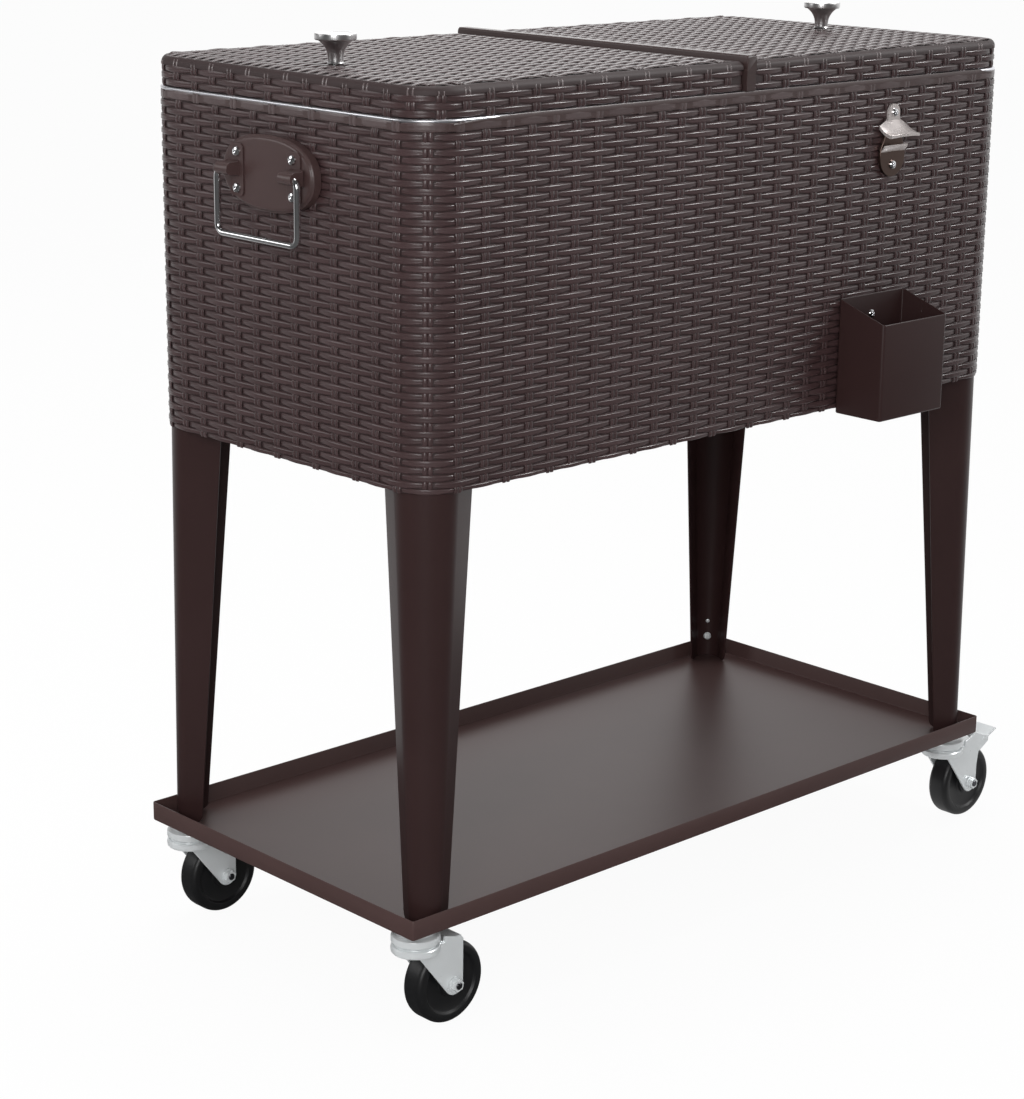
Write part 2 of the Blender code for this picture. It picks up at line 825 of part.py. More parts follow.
def loft_shell(outer_rings, inner_rings):
    """A tray-like shell: outer rings from rim to crown, then inner rings from crown to rim."""
    bm = bmesh.new()
    outer = [[bm.verts.new(point) for point in ring] for ring in outer_rings]
    inner = [[bm.verts.new(point) for point in ring] for ring in inner_rings]
    bm.faces.new(outer[-1])
    bm.faces.new(inner[0])
    for rows in (outer, inner, [inner[-1], outer[0]]):
        for low, high in zip(rows, rows[1:]):
            for i, vert in enumerate(low):
                j = (i + 1) % len(low)
                bm.faces.new((vert, low[j], high[j], high[i]))
    return bm


def build_centre_bar(root):
    half = bar_width / 2
    top = lid_top + bar_rise
    deep = lid_half_y + bar_end_cover
    line = [
        (-half, body_top + seat_gap),
        (half, body_top + seat_gap),
        (half, top - bar_edge_radius),
        (half - bar_edge_radius, top),
        (-half + bar_edge_radius, top),
        (-half, top - bar_edge_radius),
    ]
    web = extruded(line, -deep, deep)
    arm_low = body_top + seat_gap + lid_seat_gap
    lug_inner = hinge_x + 2 * seat_gap
    lug_outline = [(half - bar_edge_radius, arm_low), (hinge_x + lug_radius, arm_low)]
    for step in range(lug_steps + 1):
        angle = 3 * quarter_turn * step / lug_steps
        x = hinge_x + lug_radius * math.cos(angle)
        lug_outline.append((x, hinge_z + lug_radius * math.sin(angle)))
    arm_high = arm_low + lug_arm_height
    lug_outline.append((lug_inner, lug_outline[-1][1]))
    lug_outline += [(lug_inner, arm_high), (half - bar_edge_radius, arm_high)]
    lugs = []
    bores = []
    for side in (-1, 1):
        for sy in (-1, 1):
            y0 = sy * lug_middle_y - lug_width / 2
            y1 = y0 + lug_width
            lugs.append(extruded([(side * x, z) for x, z in lug_outline], y0, y1))
            bore_start = (side * hinge_x, y0 - cut_overrun, hinge_z)
            bore_end = (side * hinge_x, y1 + cut_overrun, hinge_z)
            bores.append(rod("Y", bore_start, bore_end, rod_radius + rod_clearance))
    joined = combine("bar", web, lugs, "UNION", False)
    bar_mesh = combine("centre_bar", bm_of(joined), bores, "DIFFERENCE")
    place("centre_bar", bar_mesh, plain_plastic, root)
    rod_half = lid_half_y - lid_wall - seat_gap
    for side, word in ((-1, "left"), (1, "right")):
        pin = rod("Y", (0, -rod_half, 0), (0, rod_half, 0), rod_radius)
        mesh = mesh_of("hinge_rod_" + word, pin)
        place("hinge_rod_" + word, mesh, zinc, root, (side * hinge_x, 0, hinge_z))


def leg_section(radius, flange, inset):
    """The plan of a leg's sheet, outer side then inner side, for the corner at positive x and y."""
    centre = Vector((body_half_x - inset - radius, body_half_y - inset - radius))
    outward = Vector((1, 1)).normalized()
    across = Vector((-1, 1)).normalized()
    angles = [leg_flange_turn * step / corner_steps for step in range(-corner_steps, corner_steps + 1)]

    def side(r):
        arc = [centre + r * (math.cos(a) * outward + math.sin(a) * across) for a in angles]
        first = math.sin(leg_flange_turn) * outward + math.cos(leg_flange_turn) * across
        last = -math.sin(leg_flange_turn) * outward + math.cos(leg_flange_turn) * across
        return [arc[0] - flange * first, *arc, arc[-1] + flange * last]

    return side(radius) + list(reversed(side(radius - leg_sheet)))


def build_legs(root):
    levels = []
    for share in leg_toe_shares:
        height = leg_toe_radius * share
        cut = leg_toe_radius * (1 - math.sqrt(1 - (1 - share) ** 2))
        levels.append((height, cut))
    levels.append((leg_height, 0))
    rings = []
    for height, cut in levels:
        share = height / leg_height
        radius = leg_foot_radius + (leg_top_radius - leg_foot_radius) * share
        flange = leg_foot_flange + (leg_top_flange - leg_foot_flange) * share - cut
        inset = leg_foot_inset + (leg_inset - leg_foot_inset) * share
        rings.append([(point.x, point.y, leg_foot + height) for point in leg_section(radius, flange, inset)])
    for sy, depth_word in ((-1, "front"), (1, "back")):
        for sx, side_word in ((-1, "left"), (1, "right")):
            turned_rings = [[(sx * x, sy * y, z) for x, y, z in ring] for ring in rings]
            name = f"leg_{depth_word}_{side_word}"
            place(name, mesh_of(name, loft(turned_rings)), brown_steel, root)


def open_box(low, high, back_top, sheet):
    """A sheet box without a lid whose rim slopes from back_top at its back down to its front."""
    x0, y0, z0 = low
    x1, y1, front_top = high

    def corners(inset, bottom, top_front, top_back):
        xs = (x0 + inset, x1 - inset)
        ys = (y0 + inset, y1 - inset)
        slope = (top_back - top_front) / (y1 - y0)
        floor = [(xs[i], ys[j], bottom) for i, j in ((0, 0), (1, 0), (1, 1), (0, 1))]
        rim = [(x, y, top_front + slope * (y - y0)) for x, y, _ in floor]
        return floor, rim

    outer_floor, outer_rim = corners(0, z0, front_top, back_top)
    inner_floor, inner_rim = corners(sheet, z0 + sheet, front_top, back_top)
    return loft([outer_floor, outer_rim, inner_rim, inner_floor])


def build_tray(root):
    top = tray_underside + tray_rim_height
    low = (-tray_half_x, -tray_half_y, tray_underside)
    body = open_box(low, (tray_half_x, tray_half_y, top), top, tray_sheet)
    holes = []
    for sx in (-1, 1):
        for sy in (-1, 1):
            start = (sx * caster_x, sy * caster_y, tray_underside - cut_overrun)
            end = (sx * caster_x, sy * caster_y, tray_floor + cut_overrun)
            holes.append(rod("Z", start, end, race_stem_radius + screw_hole_clearance))
    place("tray", combine("tray", body, holes, "DIFFERENCE", False), brown_steel, root)


def fork_outline(brake):
    """The side of a fork in XZ about its swivel axis, with the ears that hold the pedal on a braked one."""
    top = fork_race_top
    inner_top = top - fork_crown / 2
    outline = [(-fork_front, inner_top), (-fork_front, top - fork_front_drop)]
    for step in range(fork_boss_steps + 1):
        angle = fork_boss_start + (fork_boss_stop - fork_boss_start) * step / fork_boss_steps
        x = caster_trail + fork_axle_boss * math.cos(angle)
        outline.append((x, wheel_radius + fork_axle_boss * math.sin(angle)))
    if brake:
        ear_end = pedal_pivot_x + pedal_ear_back
        outline.append((caster_trail + fork_axle_boss, top - brake_waist_drop))
        outline.append((brake_ear_under_x, top - brake_ear_under_drop))
        outline.append((ear_end, top + brake_ear_end_rise - brake_ear_end_height))
        outline.append((ear_end, top + brake_ear_end_rise))
        outline.append((brake_ear_top_x, top + brake_ear_top_rise))
    else:
        outline.append((fork_back, top - fork_back_drop))
    outline.append((fork_shoulder_x + fork_shoulder_run, top + fork_shoulder_rise))
    outline.append((fork_shoulder_x, inner_top))
    return outline


def fork_mesh(name, brake):
    """The swivelling part of a caster, about its swivel axis, trailing towards +X."""
    low = fork_race_top - fork_race_height
    ring_hole = kingpin_radius + kingpin_clearance
    ring_inner = race_radius - fork_race_wall
    ring = [
        (ring_hole, fork_crown_underside),
        (ring_inner, fork_crown_underside),
        (ring_inner, low),
        (race_radius - race_edge, low),
        (race_radius, low + race_edge),
        (race_radius, fork_race_top),
        (ring_hole, fork_race_top),
    ]
    tunnel_half = fork_inner_half + fork_sheet / 2
    tunnel_low = (-fork_skirt_front, -tunnel_half, low - cut_overrun)
    tunnel_high = (race_radius + cut_overrun, tunnel_half, fork_crown_underside + seat_gap)
    ring_cut = combine("ring", turned(ring), [box(tunnel_low, tunnel_high)], "DIFFERENCE", False)
    pieces = []
    for sy in (-1, 1):
        ys = sorted((sy * fork_inner_half, sy * fork_outer_half))
        pieces.append(extruded(fork_outline(brake), *ys))
    crown_back = brake_crown_back if brake else fork_back - fork_sheet
    crown_half = fork_outer_half - fork_sheet / 2
    crown_low = (race_neck_radius, -crown_half, fork_crown_underside)
    crown_high = (crown_back, crown_half, fork_race_top - fork_back_drop / 4)
    pieces.append(box(crown_low, crown_high))
    joined = combine("fork", bm_of(ring_cut), pieces, "UNION", False)
    reach = fork_outer_half + cut_overrun
    bores = [(caster_trail, wheel_radius, axle_radius)]
    if brake:
        bores.append((pedal_pivot_x, pedal_pivot_z, pedal_pin_radius))
    cuts = [rod("Y", (x, -reach, z), (x, reach, z), radius + axle_clearance) for x, z, radius in bores]
    return combine(name, bm_of(joined), cuts, "DIFFERENCE")


def wheel_mesh():
    half = wheel_width / 2
    bore = axle_radius + axle_clearance
    profile = [
        (bore, -half),
        (wheel_hub_radius, -half),
        (wheel_hub_radius, -half + wheel_web_recess),
        (wheel_web_radius, -half + wheel_web_recess),
        (wheel_web_radius + wheel_web_recess, -half),
        (wheel_radius - wheel_shoulder, -half),
        (wheel_radius, -half + wheel_shoulder),
    ]
    bm = turned(profile + [(r, -z) for r, z in reversed(profile)])
    bmesh.ops.transform(bm, matrix=Matrix.Rotation(quarter_turn, 4, "X"), verts=bm.verts)
    return mesh_of("wheel", bm)


def axle_mesh():
    inner = fork_outer_half + seat_gap
    outer = inner + axle_head_length
    profile = [(0, -outer), (axle_head_radius, -outer), (axle_head_radius, -inner), (axle_radius, -inner)]
    bm = turned(profile + [(r, -z) for r, z in reversed(profile)], small_round_steps)
    bmesh.ops.transform(bm, matrix=Matrix.Rotation(quarter_turn, 4, "X"), verts=bm.verts)
    return mesh_of("axle", bm)


def race_mesh():
    pin_foot = fork_crown_underside - seat_gap
    race_shoulder = race_top - race_neck_height
    profile = [
        (0, pin_foot - kingpin_head_height),
        (kingpin_head_radius, pin_foot - kingpin_head_height),
        (kingpin_head_radius, pin_foot),
        (kingpin_radius, pin_foot),
        (kingpin_radius, race_underside),
        (race_radius, race_underside),
        (race_radius, race_shoulder - race_edge),
        (race_radius - race_edge, race_shoulder),
        (race_neck_radius, race_shoulder),
        (race_neck_radius, race_top),
        (race_stem_radius, race_top),
        (race_stem_radius, tray_floor),
        (0, tray_floor),
    ]
    return mesh_of("caster_race", turned(profile))


def pedal_mesh():
    """A brake pedal about its pivot: a barrel with pins, a rising plate and a shoe over the tyre."""
    inner_half = fork_inner_half - pedal_side_gap
    barrel = rod("Y", (0, -inner_half, 0), (0, inner_half, 0), pedal_barrel_radius)
    pin_half = fork_outer_half + seat_gap
    pins = rod("Y", (0, -pin_half, 0), (0, pin_half, 0), pedal_pin_radius)
    low = -pedal_barrel_radius / 2
    plate_start = pedal_ear_back + pedal_plate_gap
    arm = [
        (0, low),
        (plate_start + pedal_sheet, low),
        (plate_start + pedal_sheet, low + pedal_sheet),
        (0, low + pedal_sheet),
    ]
    plate = [
        (plate_start, low),
        (pedal_reach, low + pedal_rise),
        (pedal_reach, low + pedal_rise + pedal_sheet),
        (plate_start, low + pedal_sheet),
    ]
    shoe_low = low - pedal_shoe_drop
    shoe = [
        (pedal_shoe_out, shoe_low),
        (pedal_shoe_out + pedal_shoe_length, shoe_low + pedal_sheet),
        (pedal_shoe_out + pedal_shoe_length, low + pedal_sheet),
        (pedal_shoe_out, low + pedal_sheet),
    ]
    pieces = [
        pins,
        extruded(arm, -inner_half, inner_half),
        extruded(plate, -pedal_width / 2, pedal_width / 2),
        extruded(shoe, -inner_half / 2, inner_half / 2),
    ]
    return combine("brake_pedal", barrel, pieces, "UNION")


def build_casters(root):
    race = race_mesh()
    wheel = wheel_mesh()
    axle = axle_mesh()
    forks = {False: fork_mesh("fork", False), True: fork_mesh("brake_fork", True)}
    pedal = pedal_mesh()
    for sy, depth_word in ((-1, "front"), (1, "back")):
        for sx, side_word in ((-1, "left"), (1, "right")):
            word = f"{depth_word}_{side_word}"
            at = (sx * caster_x, sy * caster_y, 0)
            place("caster_race_" + word, race, zinc, root, at)
            swivel = joint("swivel_" + word, root, at)
            brake = sx > 0
            place("caster_fork_" + word, forks[brake], zinc, swivel)
            axle_at = (caster_trail, 0, wheel_radius)
            place("axle_" + word, axle, zinc, swivel, axle_at)
            place("wheel_" + word, wheel, black_wheel, joint("roll_" + word, swivel, axle_at))
            if brake:
                pivot = joint("pedal_pivot_" + word, swivel, (pedal_pivot_x, 0, pedal_pivot_z))
                place("brake_pedal_" + word, pedal, zinc, pivot)


def oval(half_long, half_high, out, side):
    """A full oval in the YZ plane at a distance out from the end wall."""
    points = []
    for step in range(handle_steps):
        angle = 2 * math.pi * step / handle_steps
        c = math.cos(angle)
        s = math.sin(angle)
        power = 2 / handle_fullness
        y = half_long * math.copysign(abs(c) ** power, c)
        z = half_high * math.copysign(abs(s) ** power, s)
        points.append((side * (body_half_x + out), y, handle_z + z))
    return points


def bail_path():
    """Centre line of the wire in Y and Z about its pivot, from the grip end behind one ear to the other."""
    half = bail_half_width
    bend = bail_bend_radius
    path = [(-bail_grip_end, 0)]
    corners = ((-half, 0), (-half, -bail_drop), (half, -bail_drop), (half, 0))
    stops = [path[0], *corners, (bail_grip_end, 0)]
    for before, corner, after in zip(stops, stops[1:], stops[2:]):
        into = (Vector(corner) - Vector(before)).normalized()
        away = (Vector(after) - Vector(corner)).normalized()
        centre = Vector(corner) - bend * into + bend * away
        for step in range(bail_bend_steps + 1):
            angle = quarter_turn * step / bail_bend_steps
            point = centre - bend * math.cos(angle) * away + bend * math.sin(angle) * into
            path.append((point.x, point.y))
    path.append((bail_grip_end, 0))
    return path


def swept_wire(path, radius, sides):
    """A round wire along a flat path in the YZ plane."""
    rings = []
    for i, (y, z) in enumerate(path):
        before = Vector(path[max(i - 1, 0)])
        after = Vector(path[min(i + 1, len(path) - 1)])
        along = (after - before).normalized()
        across = Vector((-along.y, along.x))
        ring = []
        for step in range(sides):
            angle = 2 * math.pi * step / sides
            off = radius * math.cos(angle) * across
            ring.append((radius * math.sin(angle), y + off.x, z + off.y))
        rings.append(ring)
    return loft(rings)


def build_handle(root, side, word):
    edge_half = handle_length / 2
    edge_high = handle_width / 2
    steps = (
        (handle_sheet + handle_edge, handle_front - handle_sheet),
        (handle_sheet, handle_front - handle_sheet - handle_edge),
        (handle_sheet, seat_gap),
        (0, seat_gap),
        (0, handle_front - handle_edge),
        (handle_edge, handle_front),
    )
    rings = [oval(edge_half - inset, edge_high - inset, out, side) for inset, out in steps]
    place("handle_plate_" + word, mesh_of("handle_plate_" + word, loft(rings)), brown_steel, root)
    for sy, depth_word in ((-1, "front"), (1, "back")):
        name = f"handle_ear_{word}_{depth_word}"
        xs = sorted((side * (body_half_x + ear_seat), side * (body_half_x + ear_seat + ear_sheet)))
        ys = sorted((sy * ear_inner, sy * ear_outer))
        low_z = handle_z - ear_plate_height / 2
        pad = box((xs[0], ys[0], low_z), (xs[1], ys[1], low_z + ear_plate_height))
        ys = sorted((sy * ear_lug_inner, sy * ear_lug_outer))
        xs = sorted((side * (body_half_x + ear_seat + ear_sheet / 2), side * pivot_x))
        block = box((xs[0], ys[0], pivot_z - ear_lug_radius), (xs[1], ys[1], pivot_z + ear_lug_radius))
        barrel = rod("Y", (side * pivot_x, ys[0], pivot_z), (side * pivot_x, ys[1], pivot_z), ear_lug_radius)
        joined = combine("ear", pad, [block, barrel], "UNION", False)
        start = (side * pivot_x, ys[0] - cut_overrun, pivot_z)
        end = (side * pivot_x, ys[1] + cut_overrun, pivot_z)
        bore = rod("Y", start, end, bail_wire_radius + bail_clearance)
        place(name, combine(name, bm_of(joined), [bore], "DIFFERENCE"), brown_steel, root)
    pivot = joint(word + "_bail_pivot", root, (side * pivot_x, 0, pivot_z))
    wire = swept_wire(bail_path(), bail_wire_radius, bail_sides)
    place("bail_" + word, mesh_of("bail_" + word, wire), chrome, pivot)


def opener_hood():
    """The hood: a sheet arched at the wall that runs out and down to a nearly straight lip."""
    half = opener_hood_half
    rings = []
    for out_share in opener_hood_shares:
        crown = opener_hood_crown + (opener_hood_front_crown - opener_hood_crown) * out_share
        out = opener_plate / 2 + (opener_hood_reach - opener_plate / 2) * out_share
        level = -opener_hood_below_tab - opener_hood_drop * out_share
        top = []
        for step in range(opener_across_steps + 1):
            s = 2 * step / opener_across_steps - 1
            top.append((s * half, -out, level - crown * s * s))
        low = [(x, y, z - opener_hood_sheet) for x, y, z in reversed(top)]
        rings.append(top + low)
    return loft(rings)


def opener_lip():
    """The lower lip, bowed forwards at its middle and turned up at its front."""
    plate_top = opener_plate_half + opener_lip_above_centre - opener_height
    rings = []
    for out_share in opener_lip_shares:
        half = opener_lip_half
        top = []
        for step in range(opener_across_steps + 1):
            s = 2 * step / opener_across_steps - 1
            bowed_reach = opener_lip_reach - opener_plate / 2 - opener_lip_bow * s * s
            y = -opener_plate / 2 - bowed_reach * out_share
            top.append((s * half, y, plate_top + opener_lip_rise * out_share))
        low = [(x, y, z - opener_lip_sheet) for x, y, z in reversed(top)]
        rings.append(top + low)
    return loft(rings)


def opener_outline():
    """The opener's plate in XZ about its top screw, from its tab round its neck and its foot."""
    low_centre = opener_plate_half - opener_height
    shoulder = -opener_hood_below_tab
    neck = [
        (opener_tab_radius, shoulder),
        (opener_neck_half, shoulder - opener_hood_crown),
        (opener_neck_half, low_centre + opener_neck_height),
        (opener_plate_half, low_centre + opener_tab_radius),
    ]
    angles = [math.pi * step / opener_round_steps for step in range(opener_round_steps + 1)]
    outline = [(opener_tab_radius * math.cos(a), opener_tab_radius * math.sin(a)) for a in angles]
    outline += [(-x, z) for x, z in neck]
    for a in angles:
        outline.append((-opener_plate_half * math.cos(a), low_centre - opener_plate_half * math.sin(a)))
    return outline + list(reversed(neck))


def build_front_fittings(root):
    plate = extruded(opener_outline(), -opener_plate, 0)
    joined = combine("opener", plate, [opener_hood(), opener_lip()], "UNION", False)
    wall = -body_half_y - seat_gap
    places = front_screw_places()
    bores = []
    for _, z, radius in places[:2]:
        start = (0, -opener_plate - cut_overrun, z - opener_top_z())
        end = (0, cut_overrun, z - opener_top_z())
        bores.append(rod("Y", start, end, radius + screw_hole_clearance))
    opener = combine("bottle_opener", bm_of(joined), bores, "DIFFERENCE")
    place("bottle_opener", opener, satin_steel, root, (opener_x, wall, opener_top_z()))
    screw = front_screw_mesh("opener_screw", opener_screw_length)
    for (x, z, _), word in zip(places[:2], ("top", "low")):
        place("opener_screw_" + word, screw, chrome, root, (x, wall - opener_plate - seat_gap, z))

    low_z = body_underside - catcher_below_body
    low = (catcher_x - catcher_width / 2, wall - catcher_depth, low_z)
    high = (catcher_x + catcher_width / 2, wall, low_z + catcher_front_height)
    body = open_box(low, high, catcher_top_z(), catcher_sheet)
    x, z, radius = places[2]
    start = (x, wall - catcher_sheet - cut_overrun, z)
    hole = rod("Y", start, (x, wall + cut_overrun, z), radius + screw_hole_clearance)
    place("cap_box", combine("cap_box", body, [hole], "DIFFERENCE", False), brown_steel, root)
    screw = front_screw_mesh("cap_box_screw", catcher_screw_length)
    place("cap_box_screw", screw, chrome, root, (x, wall - catcher_sheet - seat_gap, z))


def main():
    for obj in list(bpy.data.objects):
        bpy.data.objects.remove(obj)
    root = joint("cooler_cart", None, (-origin_x, -origin_y, 0))
    build_box(root)
    for side, word in ((-1, "left"), (1, "right")):
        build_lid(root, side, word)
        build_handle(root, side, word)
    build_centre_bar(root)
    build_legs(root)
    build_tray(root)
    build_casters(root)
    build_front_fittings(root)


main()
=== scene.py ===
import math

import bmesh
import bpy
from mathutils import Matrix, Vector


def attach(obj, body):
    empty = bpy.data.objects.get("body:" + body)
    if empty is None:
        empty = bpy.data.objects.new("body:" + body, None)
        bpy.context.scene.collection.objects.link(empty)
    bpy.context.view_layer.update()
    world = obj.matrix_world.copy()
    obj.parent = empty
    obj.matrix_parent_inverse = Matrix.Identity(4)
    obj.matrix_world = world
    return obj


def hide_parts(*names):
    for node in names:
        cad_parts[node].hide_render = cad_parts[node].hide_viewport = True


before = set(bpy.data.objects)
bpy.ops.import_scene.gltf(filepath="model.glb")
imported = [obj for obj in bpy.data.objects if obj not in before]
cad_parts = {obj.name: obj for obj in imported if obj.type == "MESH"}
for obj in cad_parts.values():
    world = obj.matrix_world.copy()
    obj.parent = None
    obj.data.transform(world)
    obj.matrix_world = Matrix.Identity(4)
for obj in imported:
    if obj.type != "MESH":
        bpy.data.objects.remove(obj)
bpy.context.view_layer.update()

# Everything below is in metres. The cart's own origin is under the tray's centre.
cart_origin = Vector((-0.018925, 0.02815, 0))
quarter_turn = math.pi / 2
seat_gap = 0.0003

# Cooler box
body_half_x = 0.39835
body_half_y = 0.19535
body_corner = 0.0421
body_underside = 0.5048
shell_top = 0.806
band_underside = 0.8121
band_top = 0.819
bead_underside = 0.8193
body_top = 0.8227
band_inset = 0.0006
tub_half_x = 0.38255
tub_half_y = 0.17955
tub_corner = 0.03
tub_sheet = 0.0006
tub_floor = 0.5188

# Lids
lid_half_x = 0.39685
lid_half_y = 0.19385
lid_corner = 0.0406
lid_underside = 0.8232
lid_top = 0.851
lid_edge_radius = 0.008
lid_inner_end = 0.007
hinge_x = 0.015
hinge_z = 0.843
bar_half = 0.006
bar_top = 0.8552
bar_end = 0.19605
lug_y = 0.169
lug_half = 0.007

# Weave. A strand dives under a pair of ribs at its ends, and ribs show between strands.
strand_row = 0.00642
middle_row_z = 0.7052
lowest_row = -31
band_row = 17
band_row_z = 0.8166
band_row_half = 0.0038
strand_half = 0.00318
strand_crest = 0.0005
strand_dive = -0.0019
rib_half = 0.00215
rib_spacing = 0.0047
rib_crest = 0.0
rib_dive = -0.0009
bed_depth = 0.002
lid_bed = 0.0019
weave_top = 0.8117
column_pitch = 0.0265
lid_pitch = 0.0267
lid_row = 0.00668
lid_weave_edge = 0.0038

# Knobs
knob_x = 0.32925
knob_seat = 0.8513
knob_height = 0.0268
knob_radius = 0.0187

# Handles
handle_z = 0.7611
handle_half_y = 0.0635
handle_half_z = 0.0335
handle_front = 0.0106
handle_sheet = 0.0016
handle_edge = 0.003
oval_squareness = 2.3
ear_sheet = 0.0014
ear_half_z = 0.0232
ear_screw_y = 0.0388
ear_screw_z = 0.016
pivot_x = 0.41935
pivot_z = 0.7626
strap_radius = 0.0056
bail_half_y = 0.056
bail_drop = 0.0575
bail_radius = 0.003
screw_turn = 0.6

# Opener and cap box. The rim's two heights are at the front and at the wall.
wall_front = -0.19565
opener_x = 0.2079
opener_top_z = 0.7895
opener_low_z = 0.7274
opener_sheet = 0.003
opener_tab = 0.0083
opener_neck = 0.0125
opener_foot = 0.0187
hood_half = 0.0216
hood_reach = 0.0206
lip_half = 0.0178
lip_reach = 0.008
cap_box_x = (0.14025, 0.23775)
cap_box_y = (-0.25235, -0.19565)
cap_box_underside = 0.5005
cap_box_rim = (0.5955, 0.6144)
cap_box_hem = ((0.0, 0.001), (0.0002, 0.0003), (0.0007, 0.0), (0.0011, 0.0003), (0.0013, 0.001))
cap_box_screw_z = 0.5939

# Legs, with their sizes at the foot and at the top
leg_foot = 0.10365
leg_top = 0.5045
leg_bend = math.radians(72)
leg_radius = (0.0155, 0.03)
leg_flange = (0.017, 0.033)
leg_inset = (0.0064, 0.0052)
leg_sheet = 0.0018
leg_toe = 0.008

# Tray, with its profile as insets and heights
tray_half_x = 0.41
tray_half_y = 0.19535
tray_underside = 0.10215
tray_rim_top = 0.12125
tray_floor = 0.10335
tray_profile = (
    (0.0045, tray_underside),
    (0.0022, tray_underside),
    (0.0007, tray_underside + 0.0004),
    (0, tray_underside + 0.0016),
    (0, tray_rim_top - 0.0005),
    (0.0003, tray_rim_top),
    (0.001, tray_rim_top),
    (0.0013, tray_rim_top - 0.0005),
    (0.0013, tray_floor + 0.002),
    (0.0018, tray_floor + 0.0007),
    (0.0032, tray_floor),
    (0.0045, tray_floor),
)

# Casters, with turned profiles as radii and heights, or radii and places along the axle
swivel_x = 0.3838
swivel_y = 0.16915
caster_trail = 0.0331
wheel_radius = 0.0395
wheel_half = 0.012
wheel_side = (
    (0.0043, -0.0008), (0.0112, -0.0008), (0.0125, 0), (0.013, 0.0026), (0.0142, 0.0034),
    (0.0272, 0.0034), (0.029, 0.0026), (0.0306, 0.0004), (0.0318, 0), (0.0345, 0),
)
race_profile = (
    (0, 0.0797), (0.0088, 0.0797), (0.0088, 0.0826), (0.005, 0.0826), (0.005, 0.08635), (0.0195, 0.08635),
    (0.0195, 0.0878), (0.022, 0.0878), (0.0226, 0.0885), (0.0226, 0.0932), (0.0222, 0.0943), (0.0208, 0.09505),
    (0.0182, 0.0953), (0.0172, 0.0962), (0.017, 0.0985), (0.0176, 0.1004), (0.0176, 0.10185), (0, 0.10185),
)
fork_top = 0.08605
fork_sheet = 0.0025
cheek_radius = 0.0105
fork_ring_profile = (
    (0.0054, 0.0832), (0.0198, 0.0832), (0.0198, 0.0776), (0.0214, 0.0774), (0.0226, 0.0788), (0.0229, 0.0812),
    (0.0226, 0.0836), (0.0214, 0.0848), (0.0195, 0.0848), (0.0195, fork_top), (0.0054, fork_top),
)
stub_profile = ((0, -0.0232), (0.003, -0.0232), (0.0034, -0.0228), (0.0034, -0.016), (0, -0.016))
bolt_head_profile = (
    (0, 0.0235), (0.0035, 0.0233), (0.0058, 0.0222), (0.0068, 0.0205), (0.007, 0.0164), (0, 0.0164),
)
nut_radius = 0.0063
nut_turn = 0.3
pedal_pivot_x = 0.054
pedal_sheet = 0.002
# Reach, height and half width along a pedal
pedal_line = (
    (0.0, -0.0015, 0.013), (0.0095, -0.0015, 0.013), (0.0115, -0.0012, 0.014),
    (0.0235, 0.0041, 0.014), (0.0246, 0.0044, 0.014), (0.0251, 0.0037, 0.014),
)

# Room and lamps: name, place, target, width and power
white = (1, 1, 1, 1)
floor_colour = (0.9, 0.9, 0.9, 1)
floor_glow = 0.95
floor_reach = 30.0
ambient_level = 0.5
room_dimness = 0.06
backdrop_direction = (0.69, 0.72, 0.0)
bright_side = (0.95, 0.3, 0.0)
backdrop_edge = (0.0, 0.75)
lamps = (
    ("glint", (2.0, -2.1, 2.6), (0, 0, 0.6), 0.9, 62),
    ("left", (-2.5, 1.9, 1.6), (-0.4, 0, 0.6), 1.6, 16),
    ("near", (-2.8, -2.2, 1.7), (0, 0, 0.6), 1.8, 56),
    ("front", (-0.6, -3.0, 2.0), (0, 0, 0.6), 2.0, 1),
    ("top", (0.2, 0.3, 3.2), (0, 0, 0.8), 1.8, 42),
    ("back", (2.3, 2.4, 1.9), (0, 0, 0.8), 1.6, 7),
)

# Camera, with its yaw, pitch and roll in degrees
camera_place = (-1.828135, -1.76255, 1.06778)
camera_turns = (43.517, 15.873, 0.633)
camera_lens = 85.21
camera_sensor = 36

scene = bpy.context.scene
scene.view_settings.view_transform = "Standard"


# Shader nodes

class Value:
    """A socket that can be used in sums."""

    def __init__(self, tree, socket):
        self.tree = tree
        self.socket = socket

    def _math(self, operation, *values):
        return self.tree.node("ShaderNodeMath", {"operation": operation}, *values)

    def __add__(self, other):
        return self._math("ADD", self, other)

    def __radd__(self, other):
        return self._math("ADD", other, self)

    def __sub__(self, other):
        return self._math("SUBTRACT", self, other)

    def __rsub__(self, other):
        return self._math("SUBTRACT", other, self)

    def __mul__(self, other):
        return self._math("MULTIPLY", self, other)

    def __rmul__(self, other):
        return self._math("MULTIPLY", other, self)

    def above(self, low, high):
        """0 up to low and 1 from high, with a straight ramp between."""
        return self.tree.node("ShaderNodeMapRange", {"clamp": True}, self, low, high, 0.0, 1.0)


